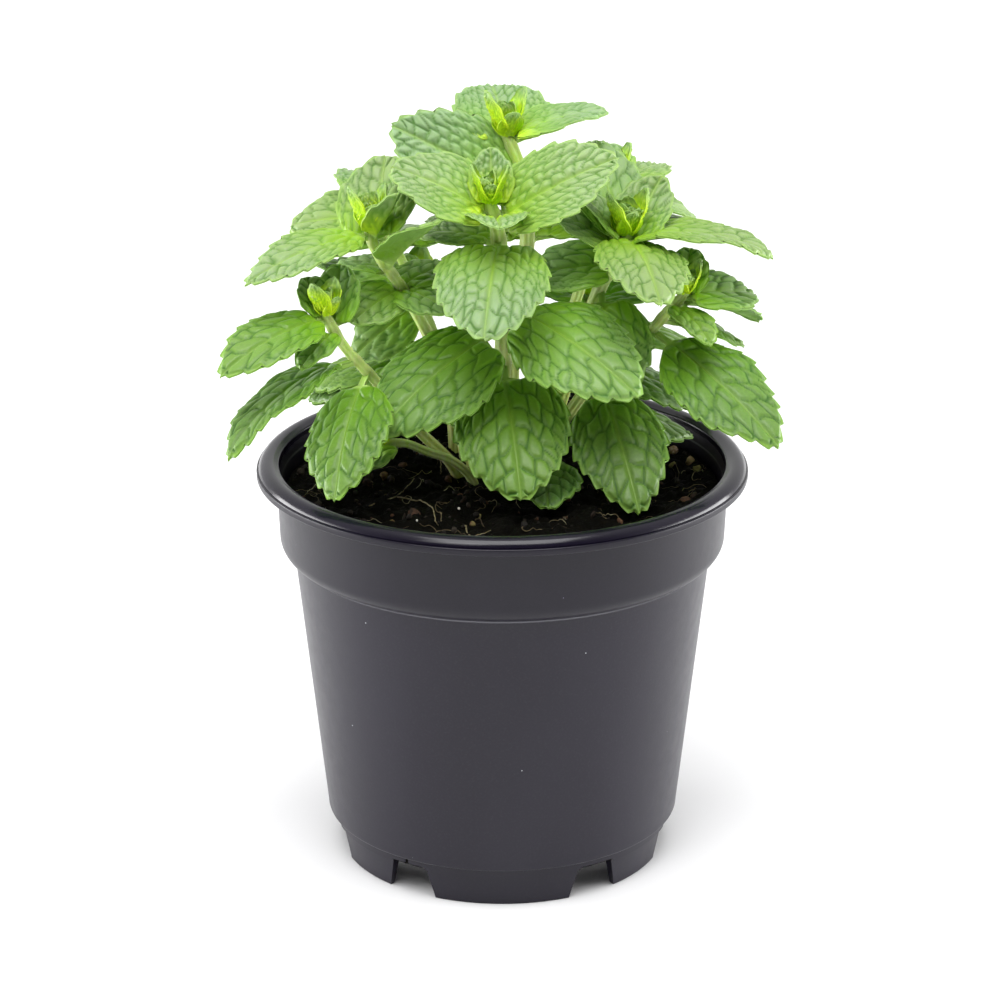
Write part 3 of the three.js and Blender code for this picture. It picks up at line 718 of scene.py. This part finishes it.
def make_stem(shoot, look, hair_look):
    """The square stem, swollen where leaves leave it, and the short hairs on it."""
    draw = np.random.default_rng(7 + int(1000 * shoot["radius"][0]) + len(shoot["name"]))
    points, share, total = stem_line(shoot)
    radius = lerp(*shoot["radius"], share)
    nodes = np.array([on_stem(shoot, row[0]) for row in shoot["leaves"]])
    swell = np.zeros(len(points))
    for node in nodes:
        swell = np.maximum(swell, np.exp(-((np.linalg.norm(points - node, axis=1) / NODE_REACH) ** 2)))
    radius = radius * (1 + NODE_SWELL * swell) * (1 - 0.3 * smoothstep(0.95, 1, share))
    mesh = Mesh()
    add_tube(mesh, points, radius, STEM_SIDES, square_section, node=swell, height=share)
    stem = mesh.build(shoot["name"] + "_stem", look)
    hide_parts(shoot["name"])
    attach(stem, "root")

    _, a, b = path_frames(points)
    hairs = Mesh()
    for _ in range(int(total * HAIRS_PER_MM)):
        k = int(lerp(0.17, 0.98, draw.random()) * (len(points) - 1))
        turn = 2 * pi * draw.random()
        out = a[k] * cos(turn) + b[k] * sin(turn)
        root = points[k] + out * radius[k] * square_section(np.array([turn]))[0] * 0.95
        way = unit(out + 0.5 * (draw.random(3) - 0.5))
        tip = root + way * (0.35 + 0.45 * draw.random())
        side = unit(np.cross(way, [0.2, 0.3, 1.0]))
        other = np.cross(way, side)
        turns = (0, 2.094, 4.189)
        foot = [root + HAIR_RADIUS * (side * cos(w) + other * sin(w)) for w in turns]
        hairs.add(np.array([*foot, tip]), [[[0, 1, 3], [1, 2, 3], [2, 0, 3], [2, 1, 0]]])
    hair = hairs.build(shoot["name"] + "_hairs", hair_look)
    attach(hair, "root")


def arc(x, y, radius, start, end, steps):
    angles = np.radians(np.linspace(start, end, steps + 1))
    return [(x + radius * cos(w), y + radius * sin(w)) for w in angles]


def line(a, b, steps):
    """Points from a up to b, without b."""
    return [(lerp(a[0], b[0], k / steps), lerp(a[1], b[1], k / steps)) for k in range(steps)]


def pot_profile():
    """Radius and height round the pot's wall, from the middle of its underside outwards and back in."""
    floor_top = FLOOR_BOTTOM + WALL
    return [
        (0.0, FLOOR_BOTTOM),
        *line((FLOOR_MIDDLE, FLOOR_BOTTOM), (FOOT_RADIUS - 2.2, FLOOR_BOTTOM), 3),
        *arc(FOOT_RADIUS - 2.2, FLOOR_BOTTOM - 0.6, 0.6, 90, 0, 3),
        (FOOT_RADIUS - 1.75, 0.35),
        (FOOT_RADIUS - 1.5, 0.0),
        *arc(FOOT_RADIUS - 0.4, 0.4, 0.4, -90, -8, 4),
        *line((FOOT_RADIUS + 0.05, 1), (FOOT_RADIUS + 1.15, FOOT_HEIGHT - 0.4), 5),
        *arc(FOOT_RADIUS + 1.9, FOOT_HEIGHT + 0.4, 0.7, 180, 110, 3),
        *arc(BODY_FOOT_RADIUS - 0.6, FOOT_HEIGHT + 1.9, 0.7, -50, -8, 4),
        *line((BODY_FOOT_RADIUS + 0.15, FOOT_HEIGHT + 2.6), (BODY_TOP_RADIUS, COLLAR_BOTTOM - 0.5), 20),
        *arc(BODY_TOP_RADIUS + 0.5, COLLAR_BOTTOM - 0.4, 0.5, 180, 120, 3),
        *arc(COLLAR_RADIUS - COLLAR_ROUND, COLLAR_BOTTOM + 4.5, COLLAR_ROUND, -58, -4, 8),
        *line((COLLAR_RADIUS + 0.03, COLLAR_BOTTOM + 5), (COLLAR_TOP_RADIUS, LIP_BOTTOM - 0.5), 8),
        *arc(COLLAR_TOP_RADIUS + 0.5, LIP_BOTTOM - 0.5, 0.5, 180, 90, 3),
        (RIM_RADIUS - 1.6, LIP_BOTTOM + 0.05),
        *arc(RIM_RADIUS - 0.45, LIP_BOTTOM + 0.45, 0.45, -90, 0, 4),
        *arc(RIM_RADIUS - 0.25, LIP_BOTTOM + 1.5, 0.25, 0, 80, 3),
        (RIM_RADIUS - 0.55, LIP_BOTTOM + 1.82),
        *arc(RIM_RADIUS - RIM_ROLL - 0.35, RIM_TOP - RIM_ROLL, RIM_ROLL, 18, 118, 12),
        *arc(COLLAR_TOP_RADIUS - 0.15, RIM_TOP - 1.25, 0.55, 100, 180, 4),
        (COLLAR_TOP_RADIUS - WALL + 0.25, LIP_BOTTOM + 0.8),
        *line((COLLAR_TOP_RADIUS - WALL, LIP_BOTTOM - 0.4), (COLLAR_RADIUS - WALL, COLLAR_BOTTOM + 5), 6),
        *line((BODY_TOP_RADIUS - WALL, COLLAR_BOTTOM - 0.5), (BODY_FOOT_RADIUS - WALL, floor_top), 4),
        (BODY_FOOT_RADIUS - WALL, floor_top),
        (FLOOR_MIDDLE, floor_top),
        (0.0, floor_top),
    ]


def lathe(mesh, profile, segments):
    """A closed profile turned about Z. Its first and last points lie on the axis."""
    turn = np.arange(segments) / segments * 2 * pi
    inner = np.array(profile[1:-1])
    radius, height = inner[:, :1], np.broadcast_to(inner[:, 1:], (len(inner), segments))
    rings = np.stack((radius * np.cos(turn), radius * np.sin(turn), height), axis=-1)
    mesh.add(*closed_rings(rings, [(0, 0, profile[0][1]), (0, 0, profile[-1][1])]))


def notch_cutter(mesh, middle, half):
    """One gap in the foot: a wedge that widens downwards, with rounded upper corners."""
    reach, inner = FOOT_RADIUS + 6, FOOT_RADIUS - 5
    angle = rad(middle - 90)
    top_width = reach * sin(rad(half - 1))
    bottom_width = reach * sin(rad(half + 1.5))
    corner = 1.0
    right = [(bottom_width, -1.0), *arc(top_width - corner, NOTCH_HEIGHT - corner, corner, 0, 90, 4)]
    outline = right + [(-x, z) for x, z in reversed(right)]
    out = np.array([cos(angle), sin(angle), 0])
    side = np.array([-sin(angle), cos(angle), 0])
    near = np.array([out * inner + side * x + UP * z for x, z in outline])
    far = near + out * (reach - inner)
    count = len(outline)
    index = np.arange(count)
    after = (index + 1) % count
    walls = np.stack((index, after, after + count, index + count), axis=-1)
    mesh.add(np.concatenate([near, far]), [walls, index[None, ::-1], (index + count)[None, :]])


def hole_cutter(mesh, number):
    angle = (number + 0.5) * 2 * pi / DRAIN_HOLES
    centre = np.array([DRAIN_CIRCLE * cos(angle), DRAIN_CIRCLE * sin(angle), FLOOR_BOTTOM + WALL / 2])
    add_tube(mesh, np.linspace(centre - UP * 4, centre + UP * 4, 3), [DRAIN_RADIUS] * 3, 32)


def cut(piece, cutter):
    """Takes the cutter out of the piece, for good."""
    modifier = piece.modifiers.new("cut", "BOOLEAN")
    modifier.operation = "DIFFERENCE"
    modifier.solver = "MANIFOLD"
    modifier.object = cutter
    shape = bpy.data.meshes.new_from_object(piece.evaluated_get(bpy.context.evaluated_depsgraph_get()))
    piece.modifiers.clear()
    piece.data = shape
    bpy.data.objects.remove(cutter)


def make_pot(look):
    mesh = Mesh()
    lathe(mesh, pot_profile(), POT_SEGMENTS)
    pot = mesh.build("pot_shell", look)
    for maker, rows in ((notch_cutter, NOTCHES), (hole_cutter, [(k,) for k in range(DRAIN_HOLES)])):
        for row in rows:
            cutter = Mesh()
            maker(cutter, *row)
            cut(pot, cutter.build("cutter", look))
    pot.data.polygons.foreach_set("use_smooth", np.ones(len(pot.data.polygons), dtype=bool))
    pot.data.set_sharp_from_angle(angle=rad(38))
    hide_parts("pot")
    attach(pot, "root")


def soil_height(x, y):
    waves = np.sin(x * 0.31 + 1.3) * np.cos(y * 0.27) + np.sin(x * 0.12 - y * 0.19 + 0.6)
    return SOIL_TOP + SOIL_RELIEF * 0.5 * waves


def value_noise(x, y, size, draw):
    """Smooth random heights from 0 to 1, with lumps of one size."""
    table = draw.random((64, 64))
    px, py = x / size + 20, y / size + 20
    i, j = np.floor(px).astype(int), np.floor(py).astype(int)
    fx, fy = px - i, py - j
    fx, fy = fx * fx * (3 - 2 * fx), fy * fy * (3 - 2 * fy)
    i, j, i1, j1 = i % 64, j % 64, (i + 1) % 64, (j + 1) % 64
    low = lerp(table[i, j], table[i1, j], fx)
    high = lerp(table[i, j1], table[i1, j1], fx)
    return lerp(low, high, fy)


def crumbled(x, y):
    """Height of the peat's crumbled surface."""
    draw = np.random.default_rng(5)
    height = soil_height(x, y)
    for size, amount in SOIL_LUMPS:
        height = height + amount * (np.abs(2 * value_noise(x, y, size, draw) - 1) - 0.35)
    return height


def ground(x, y):
    """Height of the peat at one place."""
    return float(crumbled(np.array([x]), np.array([y]))[0])


def make_soil(look):
    """The peat: a closed body whose top is crumbled."""
    top_radius = COLLAR_TOP_RADIUS - WALL - SOIL_CLEARANCE - 0.4
    line_up = np.linspace(-1, 1, SOIL_GRID + 1)
    gx, gy = np.meshgrid(line_up, line_up)
    x = gx * np.sqrt(1 - gy**2 / 2) * top_radius
    y = gy * np.sqrt(1 - gx**2 / 2) * top_radius
    away = np.hypot(x, y) / top_radius
    z = lerp(crumbled(x, y), soil_height(x, y), smoothstep(0.97, 1, away))
    side = SOIL_GRID + 1
    index = np.arange(side * side).reshape(side, side)
    ring = np.concatenate([index[0, :-1], index[:-1, -1], index[-1, :0:-1], index[:0:-1, 0]])
    top = np.stack((x, y, z), axis=-1).reshape(-1, 3)
    edge = top[ring]
    turn = edge[:, :2] / top_radius
    levels = [
        (COLLAR_RADIUS - WALL - SOIL_CLEARANCE, COLLAR_BOTTOM + 5.3),
        (BODY_TOP_RADIUS - WALL - SOIL_CLEARANCE, COLLAR_BOTTOM - 0.2),
        (BODY_FOOT_RADIUS - WALL - SOIL_CLEARANCE, FLOOR_BOTTOM + WALL + SOIL_CLEARANCE),
    ]
    lower = [np.column_stack((turn * radius, np.full(len(ring), level))) for radius, level in levels]
    middle = np.array([[0, 0, levels[-1][1]]])
    count = len(ring)
    rings = [ring] + [side * side + k * count + np.arange(count) for k in range(3)]
    faces = [grid_faces(side, side)]
    for high, low in zip(rings, rings[1:]):
        faces.append(np.stack((high, low, np.roll(low, -1), np.roll(high, -1)), axis=-1))
    centre = np.full(count, side * side + 3 * count)
    faces.append(np.stack((np.roll(rings[-1], -1), rings[-1], centre), axis=-1))
    mesh = Mesh()
    mesh.add(np.concatenate([top, *lower, middle]), faces)
    bed = mesh.build("soil_bed", look)
    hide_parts("soil")
    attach(bed, "root")


def on_soil(pixel_x, pixel_y, lift=0.0):
    """The point of the soil's surface that the camera sees at a pixel."""
    right = (pixel_x - MIDDLE_PIXEL_X) / FOCAL_PIXELS
    up = -(pixel_y - IMAGE_SIZE / 2) / FOCAL_PIXELS
    down = rad(CAMERA_DOWN)
    ray = np.array([right, cos(down) + up * sin(down), up * cos(down) - sin(down)])
    start = np.array(CAMERA_PLACE)
    height = SOIL_TOP
    for _ in range(4):
        point = start + ray * (height - start[2]) / ray[2]
        height = ground(point[0], point[1])
    return point + UP * lift


# Things on the soil that stand out: pixel of the camera's view, size and tone from 0, black, to 1
TAN_CRUMBS = [(673, 452, 1.5, 0.8), (672, 467, 1.2, 0.7), (690, 463, 1.5, 0.75), (697, 470, 1.1, 0.6)]
BARK_CRUMBS = [(384, 479, 1.7, 0.45), (403, 468, 1.5, 0.42), (630, 512, 1.5, 0.45), (644, 508, 1.2, 0.5)]
PALE_SPECKS = [(459, 509, 0.35, 1), (417, 521, 0.35, 1), (434, 536, 0.4, 1), (478, 518, 1.3, 0.66)]
ROOTLETS = [
    [(369, 508), (395, 498), (405, 491), (415, 480)],
    [(397, 499), (421, 503), (433, 511), (436, 524), (441, 529)],
    [(465, 527), (472, 538), (490, 533)],
    [(424, 441), (440, 461), (441, 475)],
]


def crumb_shapes(draw):
    """A few lumps of 80 faces, each its own shape."""
    helper = bpy.data.meshes.new("lump")
    work = bmesh.new()
    bmesh.ops.create_icosphere(work, subdivisions=2, radius=1)
    work.to_mesh(helper)
    work.free()
    sphere = np.array([v.co[:] for v in helper.vertices])
    faces = np.array([p.vertices[:] for p in helper.polygons])
    bpy.data.meshes.remove(helper)
    shapes = []
    for _ in range(CRUMB_SHAPES):
        points = sphere
        for _ in range(5):
            way = unit(draw.normal(size=3))
            cut_at = 0.55 + 0.3 * draw.random()
            depth = np.maximum(points @ way - cut_at, 0)
            points = points - depth[:, None] * way * 0.85
        shapes.append((points * (0.9 + 0.2 * draw.random((len(points), 1))), faces))
    return shapes


def random_turn(draw):
    q, _ = np.linalg.qr(draw.normal(size=(3, 3)))
    return q if np.linalg.det(q) > 0 else -q


def spot(draw, most=52.0):
    """A random place on the soil."""
    reach, turn = most * sqrt(draw.random()), 2 * pi * draw.random()
    x, y = reach * cos(turn), reach * sin(turn)
    return np.array([x, y, ground(x, y)])


def make_crumbs(look):
    """Crumbs of peat, bark and grit that lie on the soil."""
    draw = np.random.default_rng(21)
    shapes = crumb_shapes(draw)
    mesh = Mesh()

    def put(place, size, tone, flat=1.0):
        points, faces = shapes[int(draw.random() * len(shapes))]
        stretch = np.array([1, 0.6 + 0.6 * draw.random(), flat * (0.6 + 0.4 * draw.random())])
        turned = (points * stretch * size) @ random_turn(draw).T
        mesh.add(turned + place, [faces], tone=tone)

    for _ in range(CRUMBS):
        size = 0.35 + 1.1 * draw.random() ** 2.2
        tone = draw.random() ** 3 * 0.55
        put(spot(draw) + UP * size * 0.3, size, tone)
    for pixel_x, pixel_y, size, tone in TAN_CRUMBS + BARK_CRUMBS + PALE_SPECKS:
        put(on_soil(pixel_x, pixel_y, size * 0.3), size, tone)
    for _ in range(BARK_CHIPS):
        put(spot(draw) + UP * 0.1, 0.8 + 0.9 * draw.random(), 0.2 + 0.25 * draw.random(), flat=0.35)
    crumbs = mesh.build("soil_crumbs", look)
    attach(crumbs, "root")


def make_fibres(look):
    """Fine rootlets and fibres that lie on the soil and curl a little above it."""
    draw = np.random.default_rng(33)
    mesh = Mesh()
    for route in ROOTLETS:
        corners = [on_soil(px, py, 0.45) for px, py in route]
        points = np.array([curve_point(corners, t) for t in np.linspace(0, 1, 22)])
        points = points + 0.12 * draw.normal(size=points.shape)
        add_tube(mesh, points, np.linspace(0.2, 0.1, 22), 6, tone=0.65)
    for _ in range(FIBRES):
        place = spot(draw, 51.0)
        turn = 2 * pi * draw.random()
        bend = draw.normal() * 0.22
        step = 0.35 + 0.45 * draw.random()
        hump = 0.25 + 1.1 * draw.random() ** 2
        line_points = []
        for k in range(FIBRE_STEPS):
            place = place + step * np.array([cos(turn), sin(turn), 0])
            turn += bend + 0.25 * draw.normal()
            reach = hypot(place[0], place[1])
            if reach > FIBRE_REACH:
                place[:2] *= FIBRE_REACH / reach
            lift = 0.1 + hump * sin(pi * k / (FIBRE_STEPS - 1))
            line_points.append([place[0], place[1], ground(place[0], place[1]) + lift])
        thick = 0.06 + 0.07 * draw.random()
        tone = 0.3 + 0.6 * draw.random() ** 2
        add_tube(mesh, np.array(line_points), np.linspace(thick, thick * 0.5, FIBRE_STEPS), 4, tone=tone)
    fibres = mesh.build("soil_fibres", look)
    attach(fibres, "root")


class Look:
    """A material with one Principled shader, and short calls for the nodes that drive it."""

    def __init__(self, name, **constants):
        self.material = bpy.data.materials.new(name)
        self.material.use_nodes = True
        self.tree = self.material.node_tree
        self.tree.nodes.clear()
        self.shader = self.tree.nodes.new("ShaderNodeBsdfPrincipled")
        output = self.tree.nodes.new("ShaderNodeOutputMaterial")
        self.tree.links.new(self.shader.outputs[0], output.inputs[0])
        for key, value in constants.items():
            self.shader.inputs[key.replace("_", " ")].default_value = value
        self.place = self.tree.nodes.new("ShaderNodeTexCoord").outputs["Object"]

    def put(self, socket, value):
        if isinstance(value, bpy.types.NodeSocket):
            self.tree.links.new(value, socket)
        else:
            socket.default_value = (*value, 1) if socket.type == "RGBA" and len(value) == 3 else value

    def node(self, kind, inputs, **settings):
        node = self.tree.nodes.new("ShaderNode" + kind)
        for key, value in settings.items():
            setattr(node, key, value)
        for key, value in inputs.items():
            self.put(node.inputs[key], value)
        return node

    def value(self, name):
        """A value that the mesh holds for each of its points."""
        return self.node("Attribute", {}, attribute_name=name).outputs["Fac"]

    def noise(self, size, detail=3.0, roughness=0.55, stretch=None):
        """Noise whose lumps are about size millimetres."""
        place = self.place
        if stretch:
            place = self.node("Mapping", {"Vector": place, "Scale": stretch}).outputs[0]
        inputs = {"Vector": place, "Scale": 1 / (size * MM), "Detail": detail, "Roughness": roughness}
        return self.node("TexNoise", inputs).outputs["Fac"]

    def cells(self, size):
        node = self.node("TexVoronoi", {"Vector": self.place, "Scale": 1 / (size * MM)})
        return node.outputs["Distance"], node.outputs["Color"]

    def maths(self, operation, a, b=0.0):
        return self.node("Math", {0: a, 1: b}, operation=operation).outputs[0]

    def times(self, a, b):
        return self.maths("MULTIPLY", a, b)

    def spread(self, value, low, high, to_low=0.0, to_high=1.0):
        inputs = {"Value": value, "From Min": low, "From Max": high, "To Min": to_low, "To Max": to_high}
        return self.node("MapRange", inputs, interpolation_type="SMOOTHSTEP").outputs["Result"]

    def varied(self, size, detail, low, high):
        """A value that noise moves between low and high."""
        return self.spread(self.noise(size, detail), 0.3, 0.7, low, high)

    def mix(self, share, a, b, blend="MIX"):
        inputs = {"Factor": share, 6: a, 7: b}
        return self.node("Mix", inputs, data_type="RGBA", blend_type=blend).outputs[2]

    def tinted(self, colour, tint):
        return self.mix(1.0, colour, tint, "MULTIPLY")

    def ramp(self, value, stops):
        node = self.node("ValToRGB", {"Fac": value})
        ramp = node.color_ramp
        while len(ramp.elements) < len(stops):
            ramp.elements.new(0.5)
        for element, (place, colour) in zip(ramp.elements, stops):
            element.position = place
            element.color = (*colour, 1)
        return node.outputs["Color"]

    def bump(self, height, depth, before=None):
        """Bump whose full height is depth millimetres."""
        inputs = {"Strength": 1, "Distance": depth * MM, "Height": height}
        if before is not None:
            inputs["Normal"] = before
        return self.node("Bump", inputs).outputs[0]

    def finish(self, colour, roughness, normal):
        self.put(self.shader.inputs["Base Color"], colour)
        self.put(self.shader.inputs["Roughness"], roughness)
        self.put(self.shader.inputs["Normal"], normal)
        return self.material


def leaf_look():
    """Mint blades: green by age, painted shade in the sunken veins, painted sheen towards the tips, pale
    ribs and edges, paler underneath.
    """
    look = Look("mint_leaf", Subsurface_Weight=0.2, Subsurface_Radius=(0.6, 1.0, 0.2),
                Subsurface_Scale=0.0004, Specular_IOR_Level=0.36)
    names = ("young", "net", "rib", "along", "edge", "under", "tint")
    young, net, rib, along, edge, under, tint = (look.value(name) for name in names)
    green = look.ramp(young, [
        (0.0, (0.074, 0.16, 0.022)), (0.15, (0.148, 0.29, 0.03)),
        (0.3, (0.205, 0.355, 0.062)), (0.7, (0.235, 0.36, 0.10)),
        (0.86, (0.285, 0.435, 0.145)), (1.0, (0.70, 0.93, 0.004)),
    ])
    # Painted sheen: the blade grows bluish-white towards its tip and stays deep saturated green at its
    # base; the bud's leaves have none of it
    painted_sheen = look.mix(look.spread(along, 0.0, 0.75), (0.9, 1.1, 0.12), (0.98, 0.96, 1.45))
    painted_sheen = look.mix(look.spread(young, 0.8, 1.0), painted_sheen, (1.0, 1.0, 1.0))
    green = look.tinted(green, painted_sheen)
    mottle = look.varied(5.5, 4, -0.4, 0.4)
    warmth = look.spread(look.maths("ADD", tint, mottle), -1.2, 1.2)
    green = look.tinted(green, look.mix(warmth, (0.95, 0.98, 1.0), (1.07, 1.02, 0.88)))
    speck = look.spread(look.noise(0.8, 3), 0.3, 0.75)
    green = look.mix(look.times(speck, 0.12), green, (0.34, 0.54, 0.07))
    # Painted shade in the sunken small and side veins, stronger towards the tip
    deep = look.tinted(green, look.mix(young, (0.14, 0.4, 0.04), (0.27, 0.5, 0.08)))
    painted_vein_shade = look.times(net, look.spread(along, 0.0, 0.5, 0.5, 0.95))
    green = look.mix(painted_vein_shade, green, deep)
    pale_rib = look.mix(young, (0.28, 0.47, 0.06), (0.4, 0.64, 0.04))
    green = look.mix(look.times(rib, 0.6), green, pale_rib)
    pale_edge = look.mix(young, (0.28, 0.5, 0.07), (0.38, 0.6, 0.12))
    green = look.mix(look.times(edge, look.spread(young, 0.86, 1.0, 0.4, 0.12)), green, pale_edge)
    veined = look.maths("MAXIMUM", look.times(net, 0.6), rib)
    below = look.mix(veined, (0.15, 0.33, 0.03), (0.34, 0.52, 0.14))
    green = look.mix(under, green, look.mix(young, below, green))
    green = look.mix(look.value("stalk"), green, (0.36, 0.54, 0.12))
    rough = look.varied(2.2, 4, 0.3, 0.42)
    rough = look.maths("ADD", rough, look.times(look.maths("MAXIMUM", under, net), 0.22))
    fine = look.bump(look.noise(0.42, 3, 0.6), 0.09)
    return look.finish(green, rough, fine)


def stem_look():
    """Pale hairy stems, darker at the joints and browner near the soil."""
    look = Look("mint_stem", Subsurface_Weight=0.15, Subsurface_Scale=0.001,
                Sheen_Weight=0.15, Sheen_Roughness=0.5)
    height, node = look.value("height"), look.value("node")
    streak = look.noise(1.1, 4, 0.6, stretch=(1, 1, 0.12))
    colour = look.ramp(height, [
        (0.0, (0.2, 0.17, 0.06)), (0.1, (0.5, 0.5, 0.1)),
        (0.3, (0.52, 0.6, 0.13)), (0.6, (0.5, 0.65, 0.15)),
        (1.0, (0.45, 0.68, 0.08)),
    ])
    colour = look.mix(look.spread(streak, 0.35, 0.65), colour, look.mix(0.35, colour, (0.62, 0.66, 0.4)))
    colour = look.mix(look.times(node, 0.35), colour, (0.16, 0.15, 0.06))
    rough = look.spread(streak, 0.3, 0.7, 0.45, 0.62)
    return look.finish(colour, rough, look.bump(streak, 0.16))


def hair_look():
    look = Look("stem_hair", Subsurface_Weight=0.1, Sheen_Weight=0.2)
    colour = look.mix(look.noise(1.5, 2), (0.5, 0.58, 0.34), (0.72, 0.76, 0.56))
    return look.finish(colour, look.varied(1, 2, 0.4, 0.55), look.bump(look.noise(0.2, 2), 0.01))


def pot_look():
    """Dark slate moulded plastic: satin, with faint flow marks, scuffs and a little dust, painted shade
    on the collar and rim, and two thin painted highlight lines.
    """
    look = Look("slate_plastic", Specular_IOR_Level=0.37)
    flow = look.noise(26, 3, 0.5, stretch=(1, 1, 0.35))
    grain = look.noise(0.55, 4, 0.6)
    colour = look.mix(look.spread(flow, 0.3, 0.7), (0.0062, 0.0042, 0.0122), (0.0092, 0.0072, 0.0162))
    colour = look.mix(look.times(look.spread(grain, 0.45, 0.8), 0.25), colour, (0.03, 0.029, 0.038))
    distance, chance = look.cells(7.5)
    chosen = look.spread(chance, 0.62, 0.66)
    speck = look.times(look.spread(distance, 0.026, 0.012), chosen)
    colour = look.mix(look.times(speck, 0.8), colour, (0.6, 0.62, 0.66))
    distance, chance = look.cells(15)
    mark = look.times(look.spread(distance, 0.05, 0.02), look.spread(chance, 0.5, 0.6))
    colour = look.mix(look.times(mark, 0.6), colour, (0.012, 0.012, 0.014))
    height = look.times(look.node("SeparateXYZ", {0: look.place}).outputs["Z"], 1 / MM)
    # Painted shade: the pot is darker from the collar's foot upwards, standing in for the rim's shadow on
    # the collar
    painted_collar_shade = look.spread(height, COLLAR_BOTTOM - 1, COLLAR_BOTTOM + 1)
    colour = look.mix(painted_collar_shade, colour, look.tinted(colour, (0.5, 0.42, 0.62)))
    # Painted highlights: thin pale lines along the collar's rounded lower edge and just under the lip
    for middle, half, share in ((COLLAR_BOTTOM + 0.35, 0.5, 0.75), (LIP_BOTTOM - 0.75, 0.35, 0.5)):
        off = look.maths("ABSOLUTE", look.maths("SUBTRACT", height, middle))
        painted_highlight = look.spread(off, half, half * 0.5, 0.0, share)
        colour = look.mix(painted_highlight, colour, (0.17, 0.17, 0.19))
    rough = look.varied(3.5, 4, 0.33, 0.37)
    on_rim = look.spread(height, LIP_BOTTOM + 1.2, LIP_BOTTOM + 2.2)
    rough = look.maths("SUBTRACT", rough, look.times(on_rim, 0.16))
    relief = look.bump(grain, 0.012)
    relief = look.bump(look.noise(9, 2, stretch=(1, 1, 0.3)), 0.015, relief)
    return look.finish(colour, rough, look.bump(speck, 0.06, relief))


def peat_look():
    """Moist black peat."""
    look = Look("peat", Specular_IOR_Level=0.05)
    lump = look.noise(2.4, 6, 0.62)
    colour = look.ramp(lump, [
        (0.3, (0.001, 0.0009, 0.0005)), (0.55, (0.0022, 0.0019, 0.001)),
        (0.72, (0.006, 0.0048, 0.0026)), (0.85, (0.018, 0.013, 0.007)),
    ])
    rough = look.varied(1.2, 3, 0.6, 0.95)
    return look.finish(colour, rough, look.bump(look.noise(0.6, 5, 0.65), 0.5))


def crumb_look():
    """Crumbs by tone: black peat, brown bark, tan and pale grit."""
    look = Look("crumb", Specular_IOR_Level=0.2)
    tone = look.maths("ADD", look.value("tone"), look.varied(0.9, 4, -0.07, 0.07))
    colour = look.ramp(tone, [
        (0.0, (0.006, 0.0045, 0.003)), (0.3, (0.018, 0.012, 0.007)),
        (0.45, (0.075, 0.035, 0.018)), (0.66, (0.2, 0.19, 0.06)),
        (0.8, (0.36, 0.22, 0.14)), (1.0, (0.8, 0.78, 0.7)),
    ])
    rough = look.varied(0.8, 3, 0.6, 0.9)
    return look.finish(colour, rough, look.bump(look.noise(0.4, 4, 0.6), 0.2))


def fibre_look():
    look = Look("rootlet", Specular_IOR_Level=0.35)
    tone = look.maths("ADD", look.value("tone"), look.varied(1.4, 3, -0.15, 0.15))
    colour = look.ramp(tone, [
        (0.2, (0.05, 0.032, 0.015)), (0.6, (0.14, 0.11, 0.05)),
        (0.95, (0.3, 0.29, 0.18)),
    ])
    rough = look.varied(0.8, 2, 0.5, 0.75)
    return look.finish(colour, rough, look.bump(look.noise(0.3, 3), 0.05))


def make_stage():
    """A pale floor, soft light from above and bright sides."""
    size = FLOOR_SIZE / 2
    plane = bpy.data.meshes.new("floor")
    corners = [(-size, -size, 0), (size, -size, 0), (size, size, 0), (-size, size, 0)]
    plane.from_pydata(corners, [], [(0, 1, 2, 3)])
    look = Look("floor", Specular_IOR_Level=0.2, Roughness=0.7, Base_Color=(0.88, 0.88, 0.885, 1))
    plane.materials.append(look.material)
    stage = show("floor", plane)

    world = bpy.data.worlds.new("studio")
    bpy.context.scene.world = world
    world.use_nodes = True
    nodes, links = world.node_tree.nodes, world.node_tree.links
    nodes.clear()
    kinds = ("TexCoord", "SeparateXYZ", "MapRange", "Background", "OutputWorld")
    place, parts, spread, back, output = (nodes.new("ShaderNode" + kind) for kind in kinds)
    spread.interpolation_type = "SMOOTHSTEP"
    for key, number in SKY.items():
        spread.inputs[key].default_value = number
    links.new(place.outputs["Generated"], parts.inputs[0])
    links.new(parts.outputs["Y"], spread.inputs["Value"])
    links.new(spread.outputs[0], back.inputs["Strength"])
    links.new(back.outputs[0], output.inputs[0])

    for name, row in LAMPS.items():
        lamp(name, *row)


def lamp(name, place, target, width, height, power):
    data = bpy.data.lights.new(name, "AREA")
    data.shape = "RECTANGLE"
    data.size, data.size_y, data.energy = width, height, power
    light = show(name, data)
    light.location = place
    light.rotation_euler = (Vector(target) - Vector(place)).to_track_quat("-Z", "Y").to_euler()


def make_camera():
    data = bpy.data.cameras.new("camera")
    data.sensor_width = SENSOR
    data.lens = SENSOR * FOCAL_PIXELS / IMAGE_SIZE
    data.shift_x = -(MIDDLE_PIXEL_X - IMAGE_SIZE / 2) / IMAGE_SIZE
    camera = show("camera", data)
    camera.location = [x * MM for x in CAMERA_PLACE]
    camera.rotation_euler = (rad(90 - CAMERA_DOWN), 0, 0)
    bpy.context.scene.camera = camera


make_camera()
make_stage()
bpy.context.scene.view_settings.view_transform = "Standard"
make_pot(pot_look())
make_soil(peat_look())
make_crumbs(crumb_look())
make_fibres(fibre_look())
leaf_material, stem_material, hair_material = leaf_look(), stem_look(), hair_look()
for shoot in SHOOTS:
    make_leaves(shoot, leaf_material)
    make_stem(shoot, stem_material, hair_material)
